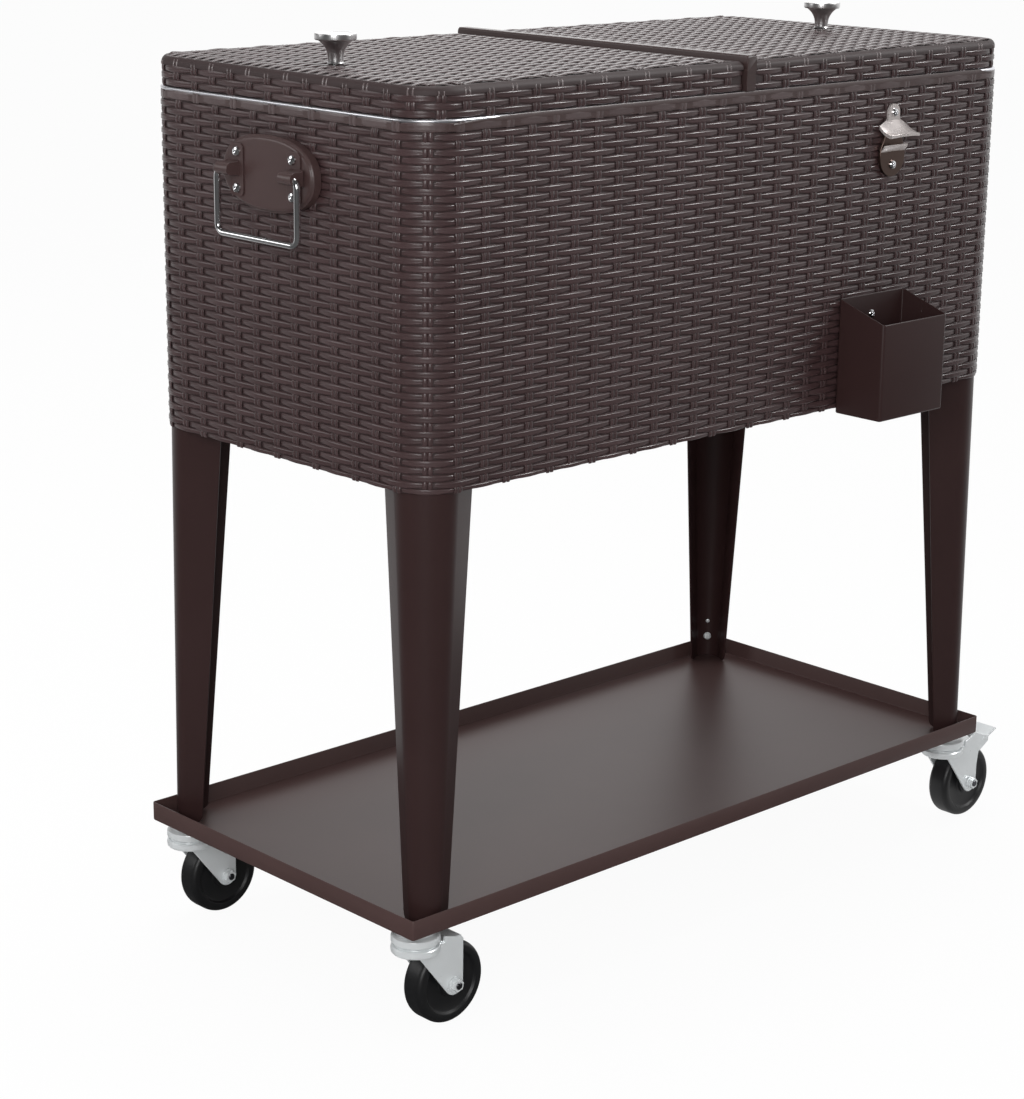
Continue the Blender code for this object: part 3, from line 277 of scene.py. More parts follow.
class Tree:
    """A node tree whose nodes are added by expressions."""

    def __init__(self, tree):
        self.nodes = tree.nodes
        self.links = tree.links

    def node(self, kind, settings, *values, output=0, **named):
        made = self.nodes.new(kind)
        for name, value in settings.items():
            if name == "stops":
                ramp = made.color_ramp.elements
                while len(ramp) < len(value):
                    ramp.new(0.5)
                for element, (place, colour) in zip(ramp, value):
                    element.position = place
                    element.color = (*colour, 1)
            else:
                setattr(made, name, value)
        for index, value in enumerate(values):
            self.feed(made.inputs[index], value)
        for name, value in named.items():
            self.feed(made.inputs[name.replace("_", " ").title()], value)
        return Value(self, made.outputs[output])

    def feed(self, socket, value):
        if isinstance(value, Value):
            self.links.new(value.socket, socket)
        elif value is not None:
            socket.default_value = value

    def other(self, value, name):
        """Another output of the node that a value comes from."""
        return Value(self, value.socket.node.outputs[name])

    def towards(self, direction, bright):
        """1 in the bright direction, and the room's own dim level away from it."""
        settings = {"operation": "DOT_PRODUCT"}
        facing = self.node("ShaderNodeVectorMath", settings, direction, bright, output=1)
        return facing.above(*backdrop_edge) * (1 - room_dimness) + room_dimness

    def finish(self, kind, value):
        """Makes value the surface of the tree's only output node."""
        for node in list(self.nodes):
            if node.bl_idname == kind or node.bl_idname == "ShaderNodeBsdfPrincipled":
                self.nodes.remove(node)
        self.links.new(value.socket, self.nodes.new(kind).inputs["Surface"])


class Finish(Tree):
    """A material with one Principled shader."""

    def __init__(self, name, colour, roughness, metallic=0.0, **fixed):
        self.material = bpy.data.materials.new(name)
        self.material.use_nodes = True
        super().__init__(self.material.node_tree)
        self.shader = self.nodes["Principled BSDF"]
        self.set("Base Color", (*colour, 1))
        self.set("Roughness", roughness)
        self.set("Metallic", metallic)
        for name, value in fixed.items():
            self.set(name.replace("_", " ").title().replace("Ior", "IOR"), value)

    def set(self, name, value):
        self.feed(self.shader.inputs[name], value)

    def place(self):
        return self.node("ShaderNodeTexCoord", {}, output=3)

    def noise(self, scale, detail=3.0, stretch=(1, 1, 1)):
        where = self.node("ShaderNodeMapping", {}, self.place(), None, None, stretch)
        settings = {"noise_dimensions": "3D"}
        return self.node("ShaderNodeTexNoise", settings, Vector=where, Scale=scale, Detail=detail, Roughness=0.55)

    def island(self):
        """A number of its own for each loose strand or rib."""
        return self.node("ShaderNodeNewGeometry", {}, output=8)

    def mix(self, factor, first, second):
        """A colour between two others. The colours are the node's seventh and eighth sockets."""
        unused = [None] * 5
        return self.node("ShaderNodeMix", {"data_type": "RGBA"}, factor, *unused, (*first, 1), (*second, 1), output=2)

    def bump(self, height, strength, distance):
        bump = self.node("ShaderNodeBump", {}, Height=height, Strength=strength, Distance=distance)
        self.set("Normal", bump)


def woven_finish(name, colour, pale, coat):
    finish = Finish(name, colour, 0.4, 0.0, coat_weight=coat, coat_roughness=0.22)
    strand = finish.island()
    cloud = finish.noise(14.0, 2.0)
    grain = finish.noise(900.0, 2.0)
    shade = strand * 0.35 + cloud * 0.55 + grain * 0.25 - 0.1
    finish.set("Base Color", finish.mix(shade, colour, pale))
    finish.set("Roughness", 0.3 + grain * 0.14)
    finish.bump(grain, 0.15, 0.0002)
    return finish.material


def satin_paint(name, colour, roughness, shine):
    finish = Finish(name, colour, roughness, specular_ior_level=shine)
    speckle = finish.noise(1400.0, 2.0)
    cloud = finish.noise(9.0, 3.0)
    pale = tuple(min(1.0, c * 1.5 + 0.004) for c in colour)
    finish.set("Base Color", finish.mix(cloud * 0.5, colour, pale))
    finish.set("Roughness", roughness - 0.05 + speckle * 0.1)
    finish.bump(speckle, 0.12, 0.0001)
    return finish.material


def metal(name, colour, roughness, streak=(1, 1, 1), scale=300.0, spread=0.12, bump=0.05, metallic=1.0):
    finish = Finish(name, colour, roughness, metallic)
    brushed = finish.noise(scale, 3.0, streak)
    cloud = finish.noise(25.0, 3.0)
    dull = tuple(c * 0.8 for c in colour)
    finish.set("Base Color", finish.mix(cloud * 0.7, colour, dull))
    finish.set("Roughness", roughness - spread / 2 + brushed * spread)
    finish.bump(brushed, bump, 0.0001)
    return finish.material


def moulded(name, colour, roughness, bump=0.1):
    finish = Finish(name, colour, roughness)
    grain = finish.noise(1100.0, 3.0)
    cloud = finish.noise(20.0, 3.0)
    pale = tuple(min(1.0, c * 1.35 + 0.003) for c in colour)
    finish.set("Base Color", finish.mix(cloud * 0.6, colour, pale))
    finish.set("Roughness", roughness - 0.06 + grain * 0.12)
    finish.bump(grain, bump, 0.0001)
    return finish.material


def foam_finish(name, colour):
    finish = Finish(name, colour, 0.85)
    cells = finish.node("ShaderNodeTexVoronoi", {}, Vector=finish.place(), Scale=450.0)
    finish.set("Base Color", finish.mix(cells, colour, tuple(c * 0.8 for c in colour)))
    finish.bump(cells, 0.4, 0.0003)
    return finish.material


weave = woven_finish("woven plastic", (0.036, 0.0172, 0.0175), (0.066, 0.037, 0.038), 0.25)
# Paler than the walls' weave: a painted reflection on the band row's flattened float tops.
band_weave_painted_sheen = woven_finish("woven band", (0.05, 0.031, 0.031), (0.11, 0.08, 0.08), 0.3)
# Paler than the weave: the rib ends that turn over the lids' edges carry a painted glint.
painted_glint_ribs = woven_finish("rib ends", (0.07, 0.05, 0.05), (0.17, 0.135, 0.135), 0.4)
weave_bed = moulded("weave bed", (0.03, 0.0155, 0.0155), 0.6)
band_finish = moulded("brown band", (0.052, 0.032, 0.031), 0.36)
bar_finish = moulded("brown bar", (0.042, 0.025, 0.024), 0.36)
brown_steel = satin_paint("brown powder coat", (0.028, 0.013, 0.0126), 0.38, 0.22)
handle_coat = satin_paint("brown handle coat", (0.05, 0.028, 0.027), 0.36, 0.5)
tray_finish = satin_paint("brown tray coat", (0.06, 0.033, 0.031), 0.42, 0.27)
galvanised = metal("bright sheet steel", (0.86, 0.86, 0.9), 0.34, (1, 1, 0.05), 500.0)
polished = metal("polished chrome", (0.78, 0.78, 0.79), 0.12, (1, 1, 1), 200.0, 0.06, 0.02)
satin_cast = metal("satin cast steel", (0.74, 0.68, 0.66), 0.28, (1, 1, 1), 300.0, 0.05, 0.0, 0.55)
# Steel for the opener's lower plate, painted dark: a painted shadow under the hood and a painted dark reflection.
painted_shade_steel = metal("shaded cast steel", (0.2, 0.14, 0.12), 0.3, (1, 1, 1), 300.0, 0.05, 0.0)
knob_steel = metal("brushed knob steel", (0.68, 0.67, 0.67), 0.3, (1, 1, 8), 300.0, 0.1, 0.03)
zinc = metal("zinc plate", (0.8, 0.83, 0.84), 0.3, (1, 1, 1), 160.0, 0.12, 0.01, 0.3)
black_wheel = moulded("black wheel", (0.006, 0.006, 0.0068), 0.42)
# Dark metal for the axle's end in the nut: painted shade standing in for the shadowed hole in the nut.
painted_shade_axle_end = metal("dark thread", (0.12, 0.12, 0.13), 0.3)
rubber = moulded("black rubber", (0.02, 0.02, 0.02), 0.7, 0.2)
pale_sheet = moulded("pale inner sheet", (0.66, 0.66, 0.64), 0.45)
foam_material = foam_finish("insulating foam", (0.8, 0.77, 0.62))


# Mesh helpers

def smooth_by_angle(mesh, degrees):
    mesh.shade_smooth()
    mesh.set_sharp_from_angle(angle=math.radians(degrees))


def piece(name, bm, material, body, *replaced, degrees=35, bevel=0.0, bevel_steps=2, slot=None):
    """Makes a piece from a bmesh in the cart's frame, and lets it ride on a body."""
    bmesh.ops.recalc_face_normals(bm, faces=bm.faces)
    bmesh.ops.translate(bm, verts=bm.verts, vec=cart_origin)
    mesh = bpy.data.meshes.new(name)
    bm.to_mesh(mesh)
    bm.free()
    mesh.materials.append(material)
    smooth_by_angle(mesh, degrees)
    obj = bpy.data.objects.new(name, mesh)
    scene.collection.objects.link(obj)
    if bevel:
        rounding = obj.modifiers.new("rounding", "BEVEL")
        rounding.width = bevel
        rounding.segments = bevel_steps
        rounding.limit_method = "ANGLE"
        rounding.angle_limit = math.radians(40)
        rounding.harden_normals = True
    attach(obj, body)
    if replaced:
        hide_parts(*replaced)
    return obj


def new_bm():
    return bmesh.new()


def between(low, high, share):
    return low + (high - low) * share


def join_loops(bm, low, high):
    """Faces between two closed loops with the same number of vertices."""
    for i in range(len(low)):
        j = (i + 1) % len(low)
        bm.faces.new((low[i], low[j], high[j], high[i]))


def add_rings(bm, rings, caps=True, loop=False):
    """Joins closed rings with the same number of points, in a row or in a loop."""
    rows = [[bm.verts.new(point) for point in ring] for ring in rings]
    pairs = list(zip(rows, rows[1:]))
    if loop:
        pairs.append((rows[-1], rows[0]))
    for low, high in pairs:
        join_loops(bm, low, high)
    if caps and not loop:
        bm.faces.new(list(reversed(rows[0])))
        bm.faces.new(rows[-1])
    return rows


def rod(radius, low, high):
    """The profile of a plain round rod."""
    return [(0, low), (radius, low), (radius, high), (0, high)]


def add_turned(bm, profile, steps, at=(0, 0, 0), axis="Z"):
    """Turns (radius, height) pairs about an axis through at. They form a loop, or start and end on the axis."""
    at = Vector(at)

    def point(radius, height, angle):
        a = radius * math.cos(angle)
        b = radius * math.sin(angle)
        return at + Vector((a, b, height) if axis == "Z" else (a, height, b))

    rows = []
    for radius, height in profile:
        if radius == 0:
            rows.append([bm.verts.new(point(0, height, 0))])
        else:
            rows.append([bm.verts.new(point(radius, height, math.tau * k / steps)) for k in range(steps)])
    pairs = list(zip(rows, rows[1:]))
    if profile[0][0] > 0:
        pairs.append((rows[-1], rows[0]))
    for low, high in pairs:
        for i in range(steps):
            j = (i + 1) % steps
            corners = [low[i % len(low)], low[j % len(low)], high[j % len(high)], high[i % len(high)]]
            kept = [c for k, c in enumerate(corners) if c not in corners[:k]]
            if len(kept) > 2:
                bm.faces.new(kept)


def rounded_rectangle(half_x, half_y, radius, z, steps=14):
    points = []
    for quarter, (sx, sy) in enumerate(((1, 1), (-1, 1), (-1, -1), (1, -1))):
        for k in range(steps + 1):
            angle = quarter_turn * (quarter + k / steps)
            x = sx * (half_x - radius) + radius * math.cos(angle)
            y = sy * (half_y - radius) + radius * math.sin(angle)
            points.append((x, y, z))
    return points


def add_box(bm, low, high):
    made = bmesh.ops.create_cube(bm, size=1)["verts"]
    size = Vector(high) - Vector(low)
    middle = (Vector(high) + Vector(low)) / 2
    bmesh.ops.transform(bm, matrix=Matrix.Translation(middle) @ Matrix.Diagonal((*size, 1)), verts=made)


def take_in(bm, other):
    """Adds another bmesh to the first, and frees it."""
    mesh = bpy.data.meshes.new("taken in")
    other.to_mesh(mesh)
    other.free()
    bm.from_mesh(mesh)
    bpy.data.meshes.remove(mesh)


def add_wire(bm, path, radius, steps):
    """A round wire along 3-D points, with flat ends."""
    points = [Vector(p) for p in path]
    rings = []
    normal = None
    for i, here in enumerate(points):
        before = points[max(i - 1, 0)]
        after = points[min(i + 1, len(points) - 1)]
        along = (after - before).normalized()
        if normal is None:
            normal = along.orthogonal().normalized()
        normal = (normal - along * normal.dot(along)).normalized()
        side = along.cross(normal)
        ring = []
        for k in range(steps):
            angle = math.tau * k / steps
            ring.append(here + radius * (math.cos(angle) * normal + math.sin(angle) * side))
        rings.append(ring)
    add_rings(bm, rings)


def bent_path(corners, radius, steps=8):
    """Straight runs joined by round bends."""
    line = [Vector(p) for p in corners]
    made = [line[0]]
    for before, corner, after in zip(line, line[1:], line[2:]):
        into = (corner - before).normalized()
        away = (after - corner).normalized()
        turn = into.angle(away)
        reach = radius * math.tan(turn / 2)
        start = corner - into * reach
        axis = into.cross(away).normalized()
        centre = start + axis.cross(into) * radius
        for k in range(steps + 1):
            spin = Matrix.Rotation(turn * k / steps, 3, axis)
            made.append(centre + spin @ (start - centre))
    made.append(line[-1])
    return made


def dress(node, material):
    """Gives a CAD node that stays in view its material."""
    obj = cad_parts[node]
    obj.data.materials.clear()
    obj.data.materials.append(material)


# Woven walls

def wall_columns():
    """Distances of the warp pairs' centres round the box, from the middle of its front left corner."""
    arc = body_corner * quarter_turn / 2
    front = 2 * (body_half_x - body_corner) + 2 * arc
    side = 2 * (body_half_y - body_corner) + 2 * arc
    around = 2 * (front + side)
    columns = [0.0023, 0.0321]
    columns += [0.062 + column_pitch * k for k in range(26)]
    columns.append(0.7515)
    columns += [front + side * k / 14 for k in range(15)]
    last = around - 0.3824
    columns += [front + side + (last - front - side) * k / 29 for k in range(1, 30)]
    columns += [around - 0.0275 - 0.0273 * k for k in reversed(range(13))]
    return columns, around


def round_the_box(half_x, half_y, radius):
    """A function from a distance round the box and a distance out from its side to x and y."""
    arc = radius * quarter_turn
    length = 2 * (half_x - radius)
    depth = 2 * (half_y - radius)

    def at(s, out):
        s = (s + arc / 2) % (2 * (length + depth) + 4 * arc)
        x = -half_x + radius
        y = -half_y + radius
        heading = 0
        for run in (length, depth, length, depth):
            if s <= arc:
                angle = math.pi + quarter_turn * heading + s / radius
                return (x + (radius + out) * math.cos(angle), y + (radius + out) * math.sin(angle))
            s -= arc
            ahead = (math.cos(quarter_turn * heading), math.sin(quarter_turn * heading))
            if s <= run:
                aside = (radius + out) * ahead[1], -(radius + out) * ahead[0]
                return (x + ahead[0] * s + aside[0], y + ahead[1] * s + aside[1])
            s -= run
            x += ahead[0] * run
            y += ahead[1] * run
            heading += 1
        return (x, y)

    return at


# Places across a strand as shares of its half width, with the drop below its crest: two ridges and a groove
strand_section = (
    (-1.0, 0.001),
    (-0.86, 0.00042),
    (-0.66, 0.00006),
    (-0.5, 0.00004),
    (-0.22, 0.00014),
    (0.06, 0.00015),
    (0.36, 0.0),
    (0.43, 0.00006),
    (0.53, 0.00028),
    (0.6, 0.00036),
    (0.86, 0.0004),
    (1.0, 0.001),
)
rib_section = ((-1.0, 0.0009), (-0.66, 0.00022), (0.0, 0.0), (0.66, 0.00022), (1.0, 0.0009))
strand_steps = 8
rib_steps = 3


def add_strand(bm, place, s0, s1, middle, t, half, top=0.0):
    """One float of the weft, which rises from under one warp pair, over the next and down again."""
    rows = []
    for k in range(strand_steps + 1):
        s = s0 + (s1 - s0) * (1 - math.cos(math.pi * k / strand_steps)) / 2
        end = s0 if s < middle else s1
        away = min(1.0, abs(s - middle) / abs(end - middle))
        crest = top + strand_crest - (strand_crest - strand_dive) * away**1.8
        narrow = half * (1 - 0.28 * away * away)
        rows.append([place(s, t + narrow * v, crest - drop) for v, drop in strand_section])
    made = [[bm.verts.new(p) for p in row] for row in rows]
    for low_row, high_row in zip(made, made[1:]):
        for i in range(len(low_row) - 1):
            bm.faces.new((low_row[i], low_row[i + 1], high_row[i + 1], high_row[i]))
        bm.faces.new((low_row[-1], low_row[0], high_row[0], high_row[-1]))
    bm.faces.new(made[0])
    bm.faces.new(list(reversed(made[-1])))


def add_ribs(bm, place, s, t0, t1, top=0.0):
    """The two warp ribs at a column between two heights."""
    for side in (-0.5, 0.5):
        centre = s + side * rib_spacing
        rows = []
        for k in range(rib_steps + 1):
            share = k / rib_steps
            crest = top + rib_dive + (rib_crest - rib_dive) * math.sin(math.pi * share)
            t = t0 + (t1 - t0) * share
            rows.append([place(centre + rib_half * v, t, crest - drop) for v, drop in rib_section])
        add_rings(bm, rows)


def weave_panel(name, place, columns, rows, finish):
    """A panel of weave from (index, distance) columns and (index, height, half height) rows."""
    bm = new_bm()
    for i, (number, s) in enumerate(columns[1:-1], 1):
        before = columns[i - 1][1]
        after = columns[i + 1][1]
        margin = rib_spacing / 2 + rib_half
        for row, t, half in rows:
            if (number + row) % 2:
                add_strand(bm, place, before + margin + 0.0011, after - margin + 0.0008, s, t, half)
            else:
                add_ribs(bm, place, s, t - half * 1.3, t + half * 1.3)
    piece(name, bm, finish, "cart", degrees=50, slot="woven_plastic")


def wall_rows():
    rows = []
    for row in range(lowest_row, band_row):
        z = middle_row_z + strand_row * row
        half = strand_half
        if row == lowest_row:
            z += 0.001
            half -= 0.0008
        rows.append((row, z, half))
    return rows


def add_walls():
    """The four woven walls, each from its first corner on, and the row that shows through the rim's band."""
    columns, around = wall_columns()
    round_box = round_the_box(body_half_x, body_half_y, body_corner)

    def on_wall(s, z, out):
        return (*round_box(s, out), z)

    def on_band(s, z, out):
        return (*round_box(s, 0.35 * out - 0.0001), z)

    for word, first, last in (("front", -1, 27), ("right", 28, 43), ("back", 44, 72), ("left", 73, 84)):
        numbered = []
        for k in range(first - 1, last + 2):
            turns, index = divmod(k, len(columns))
            numbered.append((k, columns[index] + turns * around))
        weave_panel("woven_wall_" + word, on_wall, numbered, wall_rows(), weave)
        # The band row gets the paler weave, a painted reflection on its flat tops.
        weave_panel("woven_band_" + word, on_band, numbered, [(band_row, band_row_z, band_row_half)], band_weave_painted_sheen)


def add_bed():
    """The backing that shows dark between the strands of the walls."""
    bm = new_bm()
    profile = (
        (bed_depth, body_underside),
        (bed_depth, weave_top),
        (0.0036, weave_top),
        (0.0036, shell_top),
        (0.0032, shell_top),
        (0.0032, body_underside),
    )
    add_rings(bm, [body_ring(inset, z) for inset, z in profile], loop=True)
    piece("weave_backing", bm, weave_bed, "cart", "wicker_shell", slot="woven_plastic")


def body_ring(inset, z):
    return rounded_rectangle(body_half_x - inset, body_half_y - inset, body_corner - inset, z)


def add_band_and_tub():
    band = new_bm()
    profile = (
        (0.001, band_underside),
        (0.0004, band_underside + 0.0005),
        (0.0004, band_top - 0.0006),
        (0.001, band_top),
        (0.006, band_top),
        (0.006, band_underside),
    )
    add_rings(band, [body_ring(inset, z) for inset, z in profile], loop=True)
    # Along the front and the back the band turns up over the bead
    for side in (-1, 1):
        rings = []
        for x, share in ((-0.365, 0), (-0.34, 0.5), (-0.315, 0.85), (-0.29, 1), (0.345, 1), (0.365, 0)):
            top = between(band_top, body_top, share)
            strip = [(0.001, band_top - 0.002), (0.0001, band_top - 0.001), (0.0, top - 0.0012),
                     (0.0005, top - 0.0002), (0.0012, top), (0.002, top - 0.0002), (0.002, band_top - 0.002)]
            rings.append([(x, side * (body_half_y - inset), z) for inset, z in strip])
        add_rings(band, rings)
    piece("rim_band", band, band_finish, "cart", "top_rim", slot="brown_plastic")

    def tub_ring(inset, z):
        return rounded_rectangle(tub_half_x - inset, tub_half_y - inset, tub_corner - inset, z)

    tub = new_bm()
    rings = [
        tub_ring(0, tub_floor + 0.0003),
        tub_ring(0, body_top - 0.0006),
        body_ring(band_inset + 0.0045, body_top - 0.0006),
        body_ring(band_inset + 0.0045, bead_underside),
    ]
    for k in range(9):
        angle = quarter_turn * (2 * k / 8 - 1)
        bulge = 0.0017 * (1 - math.cos(angle))
        rings.append(body_ring(band_inset + bulge - 0.0004, bead_underside + 0.0017 * (1 + math.sin(angle))))
    rings += [
        body_ring(band_inset + 0.005, body_top),
        tub_ring(tub_sheet + 0.0002 - 0.0015, body_top),
        tub_ring(tub_sheet - 0.0003, body_top - 0.0004),
        tub_ring(tub_sheet, body_top - 0.0016),
        tub_ring(tub_sheet, tub_floor + 0.0003),
    ]
    add_rings(tub, rings, loop=True)
    piece("steel_tub", tub, galvanised, "cart", "liner_tub", slot="liner_steel")


# Lids

def lid_line(inset, steps=14):
    """Plan of the right-hand lid drawn in by inset, from the front of its hinge side round to the back of it."""
    out = lid_half_x - inset
    deep = lid_half_y - inset
    radius = lid_corner - inset
    inner = lid_inner_end + inset
    line = [(inner, -deep + 0.001), (inner + 0.001, -deep)]
    for start, centre_y in ((3, -deep + radius), (0, deep - radius)):
        for k in range(steps + 1):
            angle = quarter_turn * (start + k / steps)
            line.append((out - radius + radius * math.cos(angle), centre_y + radius * math.sin(angle)))
    return line + [(inner + 0.001, deep), (inner, deep - 0.001)]


def lid_ring(side, inset, z):
    return [(side * x, y, z) for x, y in lid_line(inset)]


def add_lid(side, word):
    """A lid's shell with its hinge rib, cut open round the lugs, and the weave on its skirt and top."""
    shoulder = lid_top - lid_edge_radius
    rings = [lid_ring(side, 0.0009, lid_underside), lid_ring(side, lid_bed, lid_underside + 0.0002)]
    rings.append(lid_ring(side, lid_bed, shoulder - 0.0016))
    rings.append(lid_ring(side, 0.0002, shoulder - 0.0008))
    steps = 8
    for k in range(1, steps + 1):
        angle = quarter_turn * k / steps
        sunk = lid_bed * min(1.0, max(0.0, k / steps - 0.62) / 0.25)
        inset = lid_edge_radius - (lid_edge_radius - sunk) * math.cos(angle)
        rings.append(lid_ring(side, inset, shoulder + (lid_edge_radius - sunk) * math.sin(angle)))
    rings.append(lid_ring(side, lid_edge_radius + 0.0008, lid_top - lid_bed))
    shell = new_bm()
    outer = add_rings(shell, rings, caps=False)
    wall = 0.003
    inner_radius = lid_edge_radius - wall
    inner_rings = [lid_ring(side, wall, lid_underside), lid_ring(side, wall, shoulder)]
    for k in range(1, 4):
        angle = quarter_turn * k / 3
        inset = wall + inner_radius * (1 - math.cos(angle))
        inner_rings.append(lid_ring(side, inset, shoulder + inner_radius * math.sin(angle)))
    inner = add_rings(shell, inner_rings, caps=False)
    shell.faces.new(outer[-1])
    shell.faces.new(inner[-1])
    join_loops(shell, outer[0], inner[0])

    rib = new_bm()
    outline = [(-0.0065, -0.006), (0.006, -0.006), (0.006, 0.0065)]
    for k in range(9):
        angle = quarter_turn * (1 + k / 8)
        outline.append((0.0065 * math.cos(angle), 0.0065 * math.sin(angle)))
    rib_end = lid_half_y - lid_edge_radius
    add_rings(rib, [[(side * (hinge_x + x), y, hinge_z + z) for x, z in outline] for y in (-rib_end, rib_end)])

    cuts = []
    for end in (-1, 1):
        middle = end * lug_y
        hollow = new_bm()
        add_turned(hollow, rod(0.0048, middle - lug_half, middle + lug_half), 32, (side * hinge_x, 0, hinge_z), "Y")
        slot_cut = new_bm()
        x0, x1 = sorted((side * (hinge_x + 0.0075), side * (hinge_x - 0.011)))
        add_box(slot_cut, (x0, middle - lug_half, lid_underside - 0.003), (x1, middle + lug_half, hinge_z))
        cuts += [hollow, slot_cut]
    joined = boolean(shell, [rib], "UNION")
    carved = boolean(joined, cuts, "DIFFERENCE")
    piece("lid_shell_" + word, carved, weave_bed, word + "_lid", "lid_skin_" + word, slot="woven_plastic")

    add_lid_skirt(side, word)
    add_lid_top(side, word)


def boolean(bm, others, operation):
    """Joins the other closed meshes to the first, or cuts them from it."""
    made = []
    for other in [bm, *others]:
        bmesh.ops.recalc_face_normals(other, faces=other.faces)
        mesh = bpy.data.meshes.new("part")
        other.to_mesh(mesh)
        other.free()
        obj = bpy.data.objects.new("part", mesh)
        scene.collection.objects.link(obj)
        made.append(obj)
    for tool in made[1:]:
        step = made[0].modifiers.new("step", "BOOLEAN")
        step.operation = operation
        step.solver = "EXACT"
        step.object = tool
    graph = bpy.context.evaluated_depsgraph_get()
    graph.update()
    mesh = bpy.data.meshes.new_from_object(made[0].evaluated_get(graph))
    result = new_bm()
    result.from_mesh(mesh)
    bpy.data.meshes.remove(mesh)
    for obj in made:
        data = obj.data
        bpy.data.objects.remove(obj)
        bpy.data.meshes.remove(data)
    return result


def lid_path(side):
    """A function from a distance along a lid's skirt, from the front of its hinge side, to x and y."""
    run = lid_half_x - lid_corner - hinge_x
    radius = lid_corner
    arc = lid_corner * quarter_turn
    end_run = 2 * (lid_half_y - lid_corner)

    def at(s, out):
        reach = radius + out
        if s < run:
            return (side * (hinge_x + s), -lid_half_y - out)
        if s < run + arc:
            angle = (s - run) / lid_corner - quarter_turn
            x = hinge_x + run + reach * math.cos(angle)
            return (side * x, -lid_half_y + lid_corner + reach * math.sin(angle))
        if s < run + arc + end_run:
            return (side * (lid_half_x + out), -lid_half_y + lid_corner + s - run - arc)
        if s < run + 2 * arc + end_run:
            angle = (s - run - arc - end_run) / lid_corner
            x = hinge_x + run + reach * math.cos(angle)
            return (side * x, lid_half_y - lid_corner + reach * math.sin(angle))
        return (side * (hinge_x + run - (s - run - 2 * arc - end_run)), lid_half_y + out)

    return at, 2 * run + 2 * arc + end_run


def lid_columns_x(side):
    """Distances from the middle of the box to the warp pairs on a lid's front."""
    xs = [side * (-0.188 + lid_pitch * k) for k in range(-6, 21)]
    return sorted(x for x in xs if hinge_x + 0.006 < x < lid_half_x - lid_corner)


def add_lid_skirt(side, word):
    """Three rows of weave round a lid, and the rib ends that turn in over its edge."""
    at, total = lid_path(side)
    front = [x - hinge_x for x in lid_columns_x(side)]
    gap_start = front[-1]
    gap = total - 2 * gap_start
    count = round(gap / lid_pitch)
    distances = front + [gap_start + gap * k / count for k in range(1, count)]
    distances += [total - s for s in reversed(front)]
    stops = [-0.004 if front[0] > 0.013 else front[0] - lid_pitch] + distances
    stops.append(total + 0.004 if front[0] > 0.013 else total - front[0] + lid_pitch)
    bm = new_bm()
    turned_in = new_bm()
    margin = rib_spacing / 2 + rib_half + 0.0002

    def on_skirt(s, z, out):
        x, y = at(s, out)
        return (x, y, z)

    rows = [(r, lid_underside + 0.0034 + 0.0064 * r, strand_half) for r in range(3)]
    for i in range(1, len(stops) - 1):
        s = stops[i]
        s0 = max(stops[i - 1] + margin, -hinge_x + lid_inner_end + 0.001)
        s1 = min(stops[i + 1] - margin, total + hinge_x - lid_inner_end - 0.001)
        for row, z, half in rows:
            if (i + row) % 2:
                add_strand(bm, on_skirt, s0, s1, s, z, half)
            else:
                add_ribs(bm, on_skirt, s, z - half * 1.3, z + half * 1.3)
        add_edge_glints(turned_in, at, s, 0.85 if i % 2 else 0.5)
    piece("lid_skirt_weave_" + word, bm, weave, word + "_lid", degrees=50, slot="woven_plastic")
    # The rib ends get the paler weave, a painted glint along each lid's edge.
    piece("lid_rib_ends_" + word, turned_in, painted_glint_ribs, word + "_lid", degrees=50, slot="woven_plastic")


def add_edge_glints(bm, at, s, size):
    """The ends of a warp pair where they turn in over a lid's rounded edge."""
    shoulder = lid_top - lid_edge_radius
    for offset in (-0.5, 0.5):
        centre = s + offset * rib_spacing
        step = 0.001
        rows = []
        for k in range(7):
            share = k / 6
            angle = quarter_turn * (-0.1 + 0.62 * size * share)
            lift = 0.0008 * size * math.sin(math.pi * min(1.0, 0.12 + share * 0.88)) ** 0.6
            inset = lid_edge_radius * (1 - math.cos(max(0.0, angle)))
            z = shoulder + lid_edge_radius * math.sin(angle)
            out = (Vector(at(centre, -inset)) - Vector(at(centre, -inset - step))).normalized()
            level = math.cos(max(0.0, angle))
            upright = math.sin(max(0.0, angle))
            row = []
            for v, h in ((-1.0, -1.2), (-0.5, 0.55), (0.0, 1.0), (0.5, 0.55), (1.0, -1.2)):
                x, y = at(centre + 0.0013 * v * size, -inset)
                push = lift * h
                row.append((x + out.x * push * level, y + out.y * push * level, z + push * upright))
            rows.append(row)
        add_rings(bm, rows)


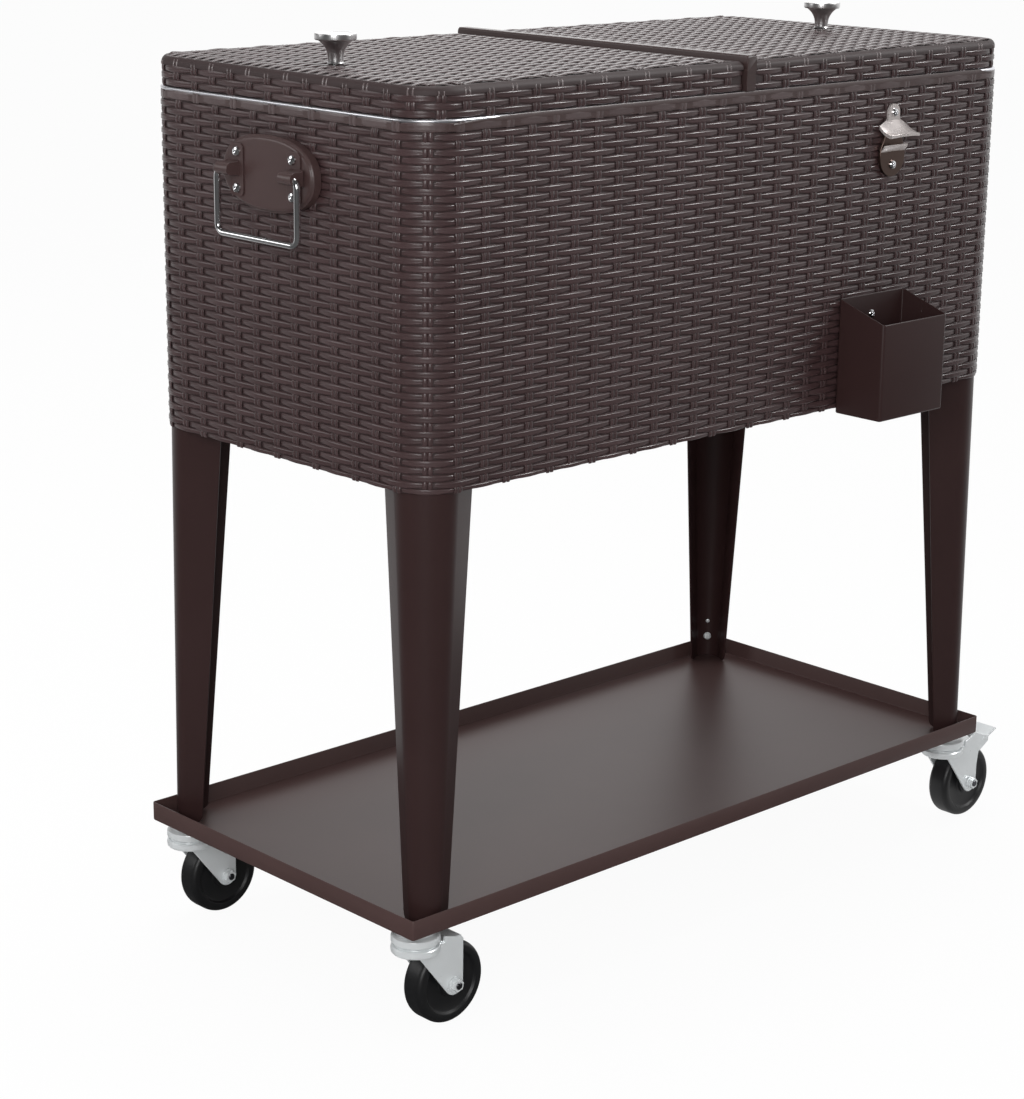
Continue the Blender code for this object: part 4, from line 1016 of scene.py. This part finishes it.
def add_lid_top(side, word):
    """The weave on a lid's top, which follows its round corners and rolls down over its edge."""
    bm = new_bm()
    columns_x = lid_columns_x(side)
    first = columns_x[0]
    last = columns_x[-1]
    stops = [first - lid_pitch, *columns_x, last + lid_pitch, last + 2 * lid_pitch]
    margin = rib_spacing / 2 + rib_half + 0.0003
    edge = lid_weave_edge
    corner = lid_corner - edge

    def on_top(x, y, out):
        """A place over the lid's top, which rolls down at the edge."""
        past_x = x - (lid_half_x - lid_corner)
        past_y = abs(y) - (lid_half_y - lid_corner)
        if past_x > 0 and past_y > 0:
            away = lid_corner - math.hypot(past_x, past_y)
            outward = Vector((past_x, past_y)).normalized()
        elif past_x > past_y:
            away = lid_half_x - x
            outward = Vector((1, 0))
        else:
            away = lid_half_y - abs(y)
            outward = Vector((0, 1))
        lean = min(0.95, max(0.0, 1 - away / lid_edge_radius))
        level = math.sqrt(1 - lean * lean)
        out *= 1 - 0.75 * lean
        x += out * lean * outward.x
        y += out * lean * math.copysign(outward.y, y)
        return (side * x, y, lid_top - lid_edge_radius + (lid_edge_radius + out) * level)

    def reach(y):
        """How far the flat of the lid goes towards its outer end at y."""
        past = abs(y) - (lid_half_y - edge - corner)
        straight = lid_half_x - edge - corner
        if past <= 0:
            return straight + corner
        if past >= corner:
            return 0
        return straight + math.sqrt(corner * corner - past * past)

    near = hinge_x + 0.0016
    for i in range(1, len(stops) - 1):
        x = stops[i]
        for row in range(-28, 29):
            y = row * lid_row
            limit = min(reach(y - strand_half), reach(y + strand_half))
            if (i + row) % 2:
                x0 = max(stops[i - 1] + margin, near)
                x1 = min(stops[i + 1] - margin, limit)
                if x1 - x0 < 0.006:
                    continue
                middle = min(max(x, x0 + 0.002), x1 - 0.002)
                add_strand(bm, on_top, x0, x1, middle, y, strand_half)
            elif near < x - rib_spacing / 2 - rib_half and x + rib_spacing / 2 + rib_half < limit:
                add_ribs(bm, on_top, x, y - strand_half * 1.3, y + strand_half * 1.3)
    piece("lid_top_weave_" + word, bm, weave, word + "_lid", degrees=50, slot="woven_plastic")


def add_bar_cap():
    """The centre bar's rounded cover, turned down over both ends."""
    bm = new_bm()
    half = bar_half + 0.0002
    section = [(-half, 0.840), (-half, bar_top - 0.0020)]
    for k in range(1, 8):
        angle = math.pi - quarter_turn * k / 8
        section.append((-half + 0.002 + 0.002 * math.cos(angle), bar_top - 0.0018 + 0.002 * math.sin(angle)))
    section += [(-x, z) for x, z in reversed(section)]
    rings = []
    for share in (0.0, 0.3, 0.6, 0.85, 1.0):
        angle = quarter_turn * share
        drop = 0.0022 * (1 - math.sin(angle))
        y = bar_end + 0.0003 - 0.0022 * (1 - math.cos(angle))
        rings.append([(x, -y, z - drop if z > 0.85 else z) for x, z in section])
    rings += [[(x, -y, z) for x, y, z in ring] for ring in reversed(rings)]
    add_rings(bm, rings)
    piece("bar_cover", bm, bar_finish, "cart", slot="brown_plastic")


# Fittings

def add_screw(bm, at, axis, sign, radius=0.0042, height=0.0024):
    """A round head with a recessed cross, standing out from a face along an axis."""
    profile = [(0, 0.0), (radius, 0.0), (radius, height * 0.35), (radius * 0.86, height * 0.75),
               (radius * 0.6, height * 0.95), (0, height)]
    head = new_bm()
    add_turned(head, profile, 24)
    arm = radius * 0.55
    width = radius * 0.11
    cross = []
    for long_x, long_y in ((arm, width), (width, arm)):
        cutter = new_bm()
        add_box(cutter, (-long_x, -long_y, height * 0.45), (long_x, long_y, height * 1.4))
        cross.append(cutter)
    carved = boolean(head, cross, "DIFFERENCE")
    turns = {
        "X": Matrix.Rotation(sign * quarter_turn, 4, "Y"),
        "Y": Matrix.Rotation(-sign * quarter_turn, 4, "X"),
    }
    set_in_place = Matrix.Translation(at) @ turns[axis] @ Matrix.Rotation(screw_turn, 4, "Z")
    bmesh.ops.transform(carved, matrix=set_in_place, verts=carved.verts)
    take_in(bm, carved)


def add_knob(side, word):
    """A flared neck under a flat disc with a rounded rim."""
    bm = new_bm()
    neck_top = knob_height - 0.0062
    profile = [(0, 0), (0.0074, 0), (0.0076, 0.0006), (0.0071, 0.0016)]
    for k in range(13):
        share = 0.1 + 0.9 * k / 12
        profile.append((0.0068 + 0.009 * share**3.2, neck_top * share))
    profile.append((knob_radius - 0.0016, neck_top + 0.0002))
    for start, edge, z in ((-1, 0.0012, neck_top + 0.0014), (0, 0.001, knob_height - 0.001)):
        for k in range(7):
            angle = quarter_turn * (start + k / 6)
            profile.append((knob_radius - edge * (1 - math.cos(angle)), z + edge * math.sin(angle)))
    profile += [(knob_radius - 0.0026, knob_height), (knob_radius - 0.003, knob_height - 0.0002),
                (0, knob_height - 0.0002)]
    add_turned(bm, profile, 72, (side * knob_x, 0, knob_seat))
    piece("lid_knob_" + word, bm, knob_steel, word + "_lid", "knob_" + word, degrees=30, slot="satin_steel")


def oval(inset, out, side, steps=72):
    """A handle plate's outline, a squarish oval drawn in by inset, at a distance from the end wall."""
    power = 2 / oval_squareness
    points = []
    for k in range(steps):
        angle = math.tau * k / steps
        c = math.cos(angle)
        s = math.sin(angle)
        y = (handle_half_y - inset) * math.copysign(abs(c) ** power, c)
        z = (handle_half_z - inset) * math.copysign(abs(s) ** power, s)
        points.append((side * (body_half_x + out), y, handle_z + z))
    return points


def add_handle(side, word):
    """A pressed oval plate, its two ears with their screws, and the wire bail."""
    plate = new_bm()
    profile = [(handle_sheet, seat_gap), (0.0, seat_gap), (0.0, handle_front - handle_edge)]
    for k in range(1, 7):
        angle = quarter_turn * k / 6
        inset = 0.0012 + handle_edge * (1 - math.cos(angle))
        profile.append((inset, handle_front - handle_edge + handle_edge * math.sin(angle)))
    profile.append((0.0052, handle_front))
    inside = [(inset + handle_sheet, max(seat_gap, out - handle_sheet)) for inset, out in reversed(profile[2:])]
    outer = add_rings(plate, [oval(inset, out, side) for inset, out in profile], caps=False)
    inner = add_rings(plate, [oval(inset, out, side) for inset, out in inside], caps=False)
    plate.faces.new(outer[-1])
    plate.faces.new(inner[0])
    join_loops(plate, outer[0], inner[-1])
    piece("handle_dish_" + word, plate, handle_coat, "cart", "handle_plate_" + word, degrees=40,
          slot="brown_steel")

    ear_seat = handle_front + 0.0002
    screw_seat = ear_seat + ear_sheet
    screws = new_bm()
    for end, depth_word in ((-1, "front"), (1, "back")):
        strap = new_bm()
        add_strap(strap, side, end, ear_seat)
        place_word = f"{word}_{depth_word}"
        piece("bail_strap_" + place_word, strap, handle_coat, "cart", "handle_ear_" + place_word, degrees=35,
              bevel=0.0004, slot="brown_steel")
        for dz in (-ear_screw_z, ear_screw_z):
            at = (side * (body_half_x + screw_seat), end * ear_screw_y, handle_z + dz)
            add_screw(screws, at, "X", side, 0.0044, 0.0026)
    piece("handle_screws_" + word, screws, polished, "cart", degrees=30, slot="chrome")

    bail = new_bm()
    half_path = [(bail_half_y - 0.018, 0), (bail_half_y, 0), (bail_half_y, -bail_drop)]
    path = [(-y, z) for y, z in half_path] + half_path[::-1]
    corners = [(side * pivot_x, y, pivot_z + z) for y, z in path]
    add_wire(bail, bent_path(corners, 0.008), bail_radius, 18)
    piece("bail_wire_" + word, bail, polished, word + "_bail", "bail_" + word, degrees=40, slot="chrome")


def add_strap(bm, side, end, seat):
    """A pressed ear: a flat pad, and a strap raised across its middle round the bail's wire."""
    cut = 0.003
    half = ear_half_z
    y0, y1 = sorted((end * 0.0305, end * 0.049))
    base_x = body_half_x + seat
    pad = [(y1 - cut, half), (y1, half - cut), (y1, -half + cut), (y1 - cut, -half),
           (y0 + cut, -half), (y0, -half + cut), (y0, half - cut), (y0 + cut, half)]
    add_rings(bm, [[(side * (base_x + out), y, handle_z + z) for y, z in pad] for out in (0, ear_sheet)])
    back = base_x + ear_sheet * 0.5
    front = base_x + 0.0035
    section = [(back, pivot_z - 0.0075), (back, pivot_z + 0.0075), (front, pivot_z + 0.0058)]
    for k in range(17):
        angle = quarter_turn * (1 - 2 * k / 16)
        section.append((pivot_x + strap_radius * math.cos(angle), pivot_z + strap_radius * math.sin(angle)))
    section.append((front, pivot_z - 0.0058))
    lug_ys = sorted((end * 0.0355, end * 0.0535))
    add_rings(bm, [[(side * x, y, z) for x, z in section] for y in lug_ys])


def add_opener():
    """A plate with a round tab and foot, a hood over the cap, and the lip that lifts it."""
    foot_z = opener_low_z + opener_foot
    shoulder = opener_top_z - 0.0055
    waist = shoulder - 0.0066
    tab = []
    for k in range(17):
        angle = math.pi * k / 16
        tab.append((opener_tab * math.cos(angle), opener_top_z + opener_tab * math.sin(angle)))
    foot = []
    for k in range(25):
        angle = math.pi * k / 24
        foot.append((-opener_foot * math.cos(angle), foot_z - opener_foot * math.sin(angle)))
    neck = [(opener_neck, waist), (opener_neck, foot_z + 0.02), (opener_foot, foot_z + 0.0083)]
    upper = tab + [(-opener_tab, shoulder), (-opener_neck, waist), (opener_neck, waist), (opener_tab, shoulder)]
    lower = [(-x, z) for x, z in neck] + foot + neck[::-1]
    body = new_bm()
    plate = new_bm()
    for bm, outline in ((body, upper), (plate, lower)):
        add_rings(bm, [[(opener_x + x, y, z) for x, z in outline] for y in (wall_front, wall_front - opener_sheet)])
    # The lower plate gets the darkened steel, a painted shadow of the hood and a painted dark reflection.
    piece("opener_plate", plate, painted_shade_steel, "cart", degrees=30, bevel=0.0006, bevel_steps=3, slot="satin_steel")

    hood = []
    for k in range(9):
        share = k / 8
        crown = between(0.0066, 0.0015, share)
        out = between(0.0015, hood_reach, share)
        level = shoulder - 0.013 * share - 0.0016 * math.sin(math.pi * share)
        half = hood_half - 0.0012 * (1 - share) ** 2
        sheet = 0.0032 if share < 0.99 else 0.0028
        top = []
        for i in range(17):
            s = 2 * i / 16 - 1
            y = wall_front - out + 0.0026 * share * s * s
            top.append((opener_x + s * half, y, level - crown * s * s))
        hood.append(top + [(x, y, z - sheet) for x, y, z in reversed(top)])
    add_rings(body, hood)

    lip = []
    for k in range(7):
        share = k / 6
        row = []
        for i in range(17):
            s = 2 * i / 16 - 1
            reach = lip_reach - 0.0028 * s * s
            z = foot_z + 0.0075 + 0.0058 * share**1.4 - 0.0008 * s * s
            row.append((opener_x + lip_half * s, wall_front - 0.0015 - reach * share, z))
        lip.append(row + [(x, y, z - 0.002) for x, y, z in reversed(row)])
    add_rings(body, lip)
    piece("opener", body, satin_cast, "cart", "bottle_opener", degrees=30, bevel=0.0006, bevel_steps=3,
          slot="satin_steel")

    screws = new_bm()
    for z in (opener_top_z, opener_low_z + 0.0117):
        add_screw(screws, (opener_x, wall_front - opener_sheet, z), "Y", -1)
    piece("opener_screw_heads", screws, polished, "cart", "opener_screw_top", "opener_screw_low", degrees=30,
          slot="chrome")


def add_cap_box():
    """An open sheet box whose hemmed rim slopes up to the wall, with the screw that holds it."""
    middle_x = sum(cap_box_x) / 2
    middle_y = sum(cap_box_y) / 2
    half_x = (cap_box_x[1] - cap_box_x[0]) / 2
    half_y = (cap_box_y[1] - cap_box_y[0]) / 2
    low = cap_box_underside

    def ring(inset, z=None, drop=0.0):
        points = []
        for x, y, _ in rounded_rectangle(half_x - inset, half_y - inset, max(0.0006, 0.003 - inset), 0, 6):
            rim = between(*cap_box_rim, (y + half_y) / (2 * half_y))
            points.append((middle_x + x, middle_y + y, rim - drop if z is None else z))
        return points

    rings = [ring(0.0022, low), ring(0.0008, low + 0.0003), ring(0.0, low + 0.0014)]
    rings += [ring(inset, drop=drop) for inset, drop in cap_box_hem]
    rings += [ring(0.0012, low + 0.0024), ring(0.0022, low + 0.0013)]
    bm = new_bm()
    add_rings(bm, rings)
    piece("cap_catcher", bm, brown_steel, "cart", "cap_box", degrees=35, slot="brown_steel")
    screws = new_bm()
    add_screw(screws, (middle_x, wall_front - 0.0012, cap_box_screw_z), "Y", -1)
    piece("cap_catcher_screw", screws, polished, "cart", "cap_box_screw", degrees=30, slot="chrome")


# Legs and tray

def add_leg(sx, sy, name):
    """A tapered angle of bent sheet, whose flanges curve in at the foot."""
    outward = Vector((1, 1)).normalized()
    across = Vector((-1, 1)).normalized()
    first = math.sin(leg_bend) * outward + math.cos(leg_bend) * across
    last = -math.sin(leg_bend) * outward + math.cos(leg_bend) * across
    steps = 28
    angles = [leg_bend * (2 * k / steps - 1) for k in range(steps + 1)]

    def section(share, cut):
        radius = between(*leg_radius, share)
        flange = between(*leg_flange, share) - cut
        inset = between(*leg_inset, share)
        centre = Vector((body_half_x - inset - radius, body_half_y - inset - radius))

        def face(r):
            arc = [centre + r * (math.cos(a) * outward + math.sin(a) * across) for a in angles]
            return [arc[0] - flange * first, *arc, arc[-1] + flange * last]

        return face(radius) + face(radius - leg_sheet)[::-1]

    length = leg_top - leg_foot
    levels = []
    for k in range(9):
        share = k / 8
        levels.append((leg_toe * share, leg_toe * (1 - math.sqrt(1 - (1 - share) ** 2))))
    levels.append((length, 0))
    rings = []
    for height, cut in levels:
        rings.append([(sx * p.x, sy * p.y, leg_foot + height) for p in section(height / length, cut)])
    bm = new_bm()
    add_rings(bm, rings)
    piece("leg_angle_" + name, bm, brown_steel, "cart", "leg_" + name, degrees=25, bevel=0.0005,
          slot="brown_steel")


def add_foot_bolts(sx, sy, name):
    """The domed bolt and the rivet inside the foot of a leg."""
    bm = new_bm()
    inward = Vector((-sx, -sy, 0)).normalized()
    turn = inward.to_track_quat("Z", "Y").to_matrix().to_4x4()
    for z, radius, height in ((0.1275, 0.0044, 0.0026), (0.146, 0.0022, 0.001)):
        share = (z - leg_foot) / (leg_top - leg_foot)
        fall_back = between(*leg_inset, share) + between(*leg_radius, share) * (1 - math.sqrt(0.5)) + 0.0012
        head = new_bm()
        add_turned(head, [(0, -0.001), (radius, -0.001), (radius, height * 0.5), (radius * 0.7, height * 0.9),
                          (0, height)], 20)
        place = Matrix.Translation((sx * (body_half_x - fall_back), sy * (body_half_y - fall_back), z))
        bmesh.ops.transform(head, matrix=place @ turn, verts=head.verts)
        take_in(bm, head)
    piece("foot_bolts_" + name, bm, zinc, "cart", degrees=30, slot="zinc")


def add_tray():
    """A sheet shelf with its rim turned up, rounded at every bend."""
    rings = [rounded_rectangle(tray_half_x - inset, tray_half_y - inset, max(0.0004, 0.0028 - inset), z, 6)
             for inset, z in tray_profile]
    bm = new_bm()
    add_rings(bm, rings)
    piece("shelf_tray", bm, tray_finish, "cart", "tray", degrees=35, slot="brown_steel")


# Casters

def add_across(bm, at, outline, ys):
    """A flat outline in X and Z about a place, filled out between two depths."""
    add_rings(bm, [[at + Vector((x, y, z)) for x, z in outline] for y in ys])


def add_caster(sx, sy, name):
    """One caster: its race on the cart, its fork, its axle with nut and bolt head, and its wheel."""
    at = Vector((sx * swivel_x, sy * swivel_y, 0))
    centre = at + Vector((caster_trail, 0, wheel_radius))
    braked = sx > 0
    race = new_bm()
    add_turned(race, race_profile, 64, at)
    piece("swivel_race_" + name, race, zinc, "cart", "caster_race_" + name, degrees=30, slot="zinc")

    fork = new_bm()
    add_turned(fork, fork_ring_profile, 64, at)
    for y in (-0.0161, 0.0136):
        add_across(fork, at, fork_outline(braked), (y, y + fork_sheet))
    end = 0.047 if braked else 0.0425
    crown = [(0.016, 0.0827), (end - 0.001, 0.0827), (end, 0.0835), (end, 0.0848), (end - 0.0012, 0.0857),
             (0.016, 0.0860)]
    add_across(fork, at, crown, (-0.0150, 0.0150))
    piece("swivel_fork_" + name, fork, zinc, name + "_fork", "caster_fork_" + name, degrees=32, bevel=0.0005,
          slot="zinc")

    stub = new_bm()
    add_turned(stub, stub_profile, 24, centre, "Y")
    # The axle's end is painted dark, a painted shade for the hole in the nut.
    piece("axle_end_" + name, stub, painted_shade_axle_end, name + "_fork", degrees=30, slot="zinc")
    axle = new_bm()
    add_turned(axle, rod(0.004, -0.0165, 0.0165), 24, centre, "Y")
    corners = [math.tau * k / 6 + nut_turn for k in range(6)]
    add_across(axle, centre, [(nut_radius * math.cos(a), nut_radius * math.sin(a)) for a in corners],
               (-0.0221, -0.0172))
    add_turned(axle, rod(0.0074, -0.0174, -0.0164), 32, centre, "Y")
    add_turned(axle, bolt_head_profile, 32, centre, "Y")
    piece("axle_bolt_" + name, axle, zinc, name + "_fork", "axle_" + name, degrees=30, bevel=0.0003, slot="zinc")

    wheel = new_bm()
    profile = [(radius, -wheel_half + sunk) for radius, sunk in wheel_side]
    for k in range(1, 9):
        angle = quarter_turn * k / 8
        profile.append((0.0345 + 0.005 * math.sin(angle), -wheel_half + 0.0055 * (1 - math.cos(angle))))
    profile += [(radius, -y) for radius, y in reversed(profile)]
    add_turned(wheel, profile, 72, centre, "Y")
    piece("wheel_disc_" + name, wheel, black_wheel, name + "_wheel", "wheel_" + name, degrees=30,
          slot="wheel_plastic")
    if braked:
        add_pedal(at, name)


def fork_outline(braked):
    """One cheek of a fork in X and Z about its swivel axis."""
    outline = [(-0.01, 0.0844), (-0.01, fork_top - 0.0075)]
    for k in range(17):
        angle = math.radians(215 + 150 * k / 16)
        outline.append((caster_trail + cheek_radius * math.cos(angle), wheel_radius + cheek_radius * math.sin(angle)))
    if braked:
        outline += [(caster_trail + cheek_radius, fork_top - 0.028), (0.0457, fork_top - 0.014),
                    (0.0607, fork_top - 0.0058), (0.0623, fork_top - 0.0048), (0.0625, fork_top - 0.0002),
                    (0.0611, fork_top + 0.0012), (0.04, fork_top + 0.0095)]
    else:
        outline += [(0.0436, 0.0775), (0.044, fork_top - 0.0045), (0.0428, fork_top - 0.0026)]
    return outline + [(0.0215, fork_top + 0.004), (0.0205, 0.0844)]


def add_pedal(at, name):
    """A brake pedal: its hub and pin, the bent sheet that is stepped on, and the shoe under it."""
    pivot = at + Vector((pedal_pivot_x, 0, fork_top))
    bm = new_bm()
    add_turned(bm, rod(0.003, -0.013, 0.013), 28, pivot, "Y")
    add_turned(bm, rod(0.0018, -0.0168, 0.0168), 20, pivot, "Y")
    up = Vector((-0.25, 0, 1)).normalized() * pedal_sheet
    rings = []
    for x, z, half in pedal_line:
        low = [pivot + Vector((x, 0, z)) + Vector((0, y, 0)) for y in (-half, half)]
        rings.append(low + [p + up for p in reversed(low)])
    add_rings(bm, rings)
    add_across(bm, pivot, [(0.002, -0.0115), (0.006, -0.0095), (0.006, 0.0), (0.002, 0.0)], (-0.0068, 0.0068))
    piece("foot_brake_" + name, bm, zinc, name + "_pedal", "brake_pedal_" + name, degrees=30, bevel=0.0004,
          slot="zinc")


# Room

def add_lamp(name, where, target, width, power):
    light = bpy.data.lights.new(name, "AREA")
    light.shape = "DISK"
    light.size = width
    light.energy = power
    obj = bpy.data.objects.new(name, light)
    scene.collection.objects.link(obj)
    obj.location = where
    obj.rotation_euler = (Vector(target) - Vector(where)).to_track_quat("-Z", "Y").to_euler()
    obj.visible_camera = False
    # The glint is there for shiny surfaces alone
    obj.visible_diffuse = name != "glint"


def ray_kinds(tree):
    """1 for rays from the camera, and 1 for rays that come by way of metal or glass."""
    camera_ray = tree.node("ShaderNodeLightPath", {})
    by_way = tree.other(camera_ray, "Is Glossy Ray") + tree.other(camera_ray, "Is Transmission Ray")
    return camera_ray, by_way


def add_room():
    """A pale floor and a white backdrop. Metal sees the backdrop behind, and a dimmer room in front."""
    world = bpy.data.worlds.new("studio")
    scene.world = world
    world.use_nodes = True
    room = Tree(world.node_tree)
    camera_ray, by_way = ray_kinds(room)
    shine = room.towards(room.node("ShaderNodeTexCoord", {}), bright_side)
    strength = camera_ray + by_way * shine + (1 - camera_ray - by_way) * ambient_level
    room.finish("ShaderNodeOutputWorld", room.node("ShaderNodeBackground", {}, white, strength))

    material = bpy.data.materials.new("pale floor")
    material.use_nodes = True
    ground = Tree(material.node_tree)
    camera_ray, by_way = ray_kinds(ground)
    place = ground.node("ShaderNodeNewGeometry", {})
    shine = ground.towards(ground.node("ShaderNodeVectorMath", {"operation": "NORMALIZE"}, place), backdrop_direction)
    matt = ground.node("ShaderNodeBsdfDiffuse", {}, floor_colour)
    glow = ground.node("ShaderNodeEmission", {}, white, camera_ray + by_way * shine)
    seen = (camera_ray + by_way) * floor_glow
    ground.finish("ShaderNodeOutputMaterial", ground.node("ShaderNodeMixShader", {}, seen, matt, glow))
    bm = new_bm()
    corners = ((-1, -1), (1, -1), (1, 1), (-1, 1))
    bm.faces.new([bm.verts.new((floor_reach * x, floor_reach * y, 0)) for x, y in corners])
    mesh = bpy.data.meshes.new("floor")
    bm.to_mesh(mesh)
    bm.free()
    mesh.materials.append(material)
    obj = bpy.data.objects.new("floor", mesh)
    scene.collection.objects.link(obj)
    for lamp in lamps:
        add_lamp(*lamp)


def add_camera():
    camera = bpy.data.cameras.new("camera")
    camera.sensor_width = camera_sensor
    camera.lens = camera_lens
    obj = bpy.data.objects.new("camera", camera)
    scene.collection.objects.link(obj)
    yaw, pitch, roll = (math.radians(a) for a in camera_turns)
    forward = Vector((math.sin(yaw) * math.cos(pitch), math.cos(yaw) * math.cos(pitch), -math.sin(pitch)))
    right = forward.cross(Vector((0, 0, 1))).normalized()
    up = right.cross(forward)
    turned_right = math.cos(roll) * right + math.sin(roll) * up
    turned_up = math.cos(roll) * up - math.sin(roll) * right
    matrix = Matrix((turned_right, turned_up, -forward)).transposed().to_4x4()
    matrix.translation = camera_place
    obj.matrix_world = matrix
    scene.camera = obj


add_walls()
add_bed()
add_band_and_tub()
add_bar_cap()
add_opener()
add_cap_box()
add_tray()
for side, word in ((-1, "left"), (1, "right")):
    add_lid(side, word)
    add_knob(side, word)
    add_handle(side, word)
for sy, depth_word in ((-1, "front"), (1, "back")):
    for sx, side_word in ((-1, "left"), (1, "right")):
        corner_name = depth_word + "_" + side_word
        add_leg(sx, sy, corner_name)
        add_foot_bolts(sx, sy, corner_name)
        add_caster(sx, sy, corner_name)

dress("liner_floor", galvanised)
dress("base_pan", brown_steel)
dress("centre_bar", bar_finish)
dress("insulation_foam", foam_material)
dress("drain_spigot", rubber)
dress("drain_cap", rubber)
for side_word in ("left", "right"):
    dress("lid_pan_" + side_word, pale_sheet)
    dress("lid_foam_" + side_word, foam_material)
    dress("lid_gasket_" + side_word, rubber)
    dress("knob_screw_" + side_word, zinc)
    dress("hinge_rod_" + side_word, zinc)

add_room()
add_camera()
bpy.context.view_layer.update()
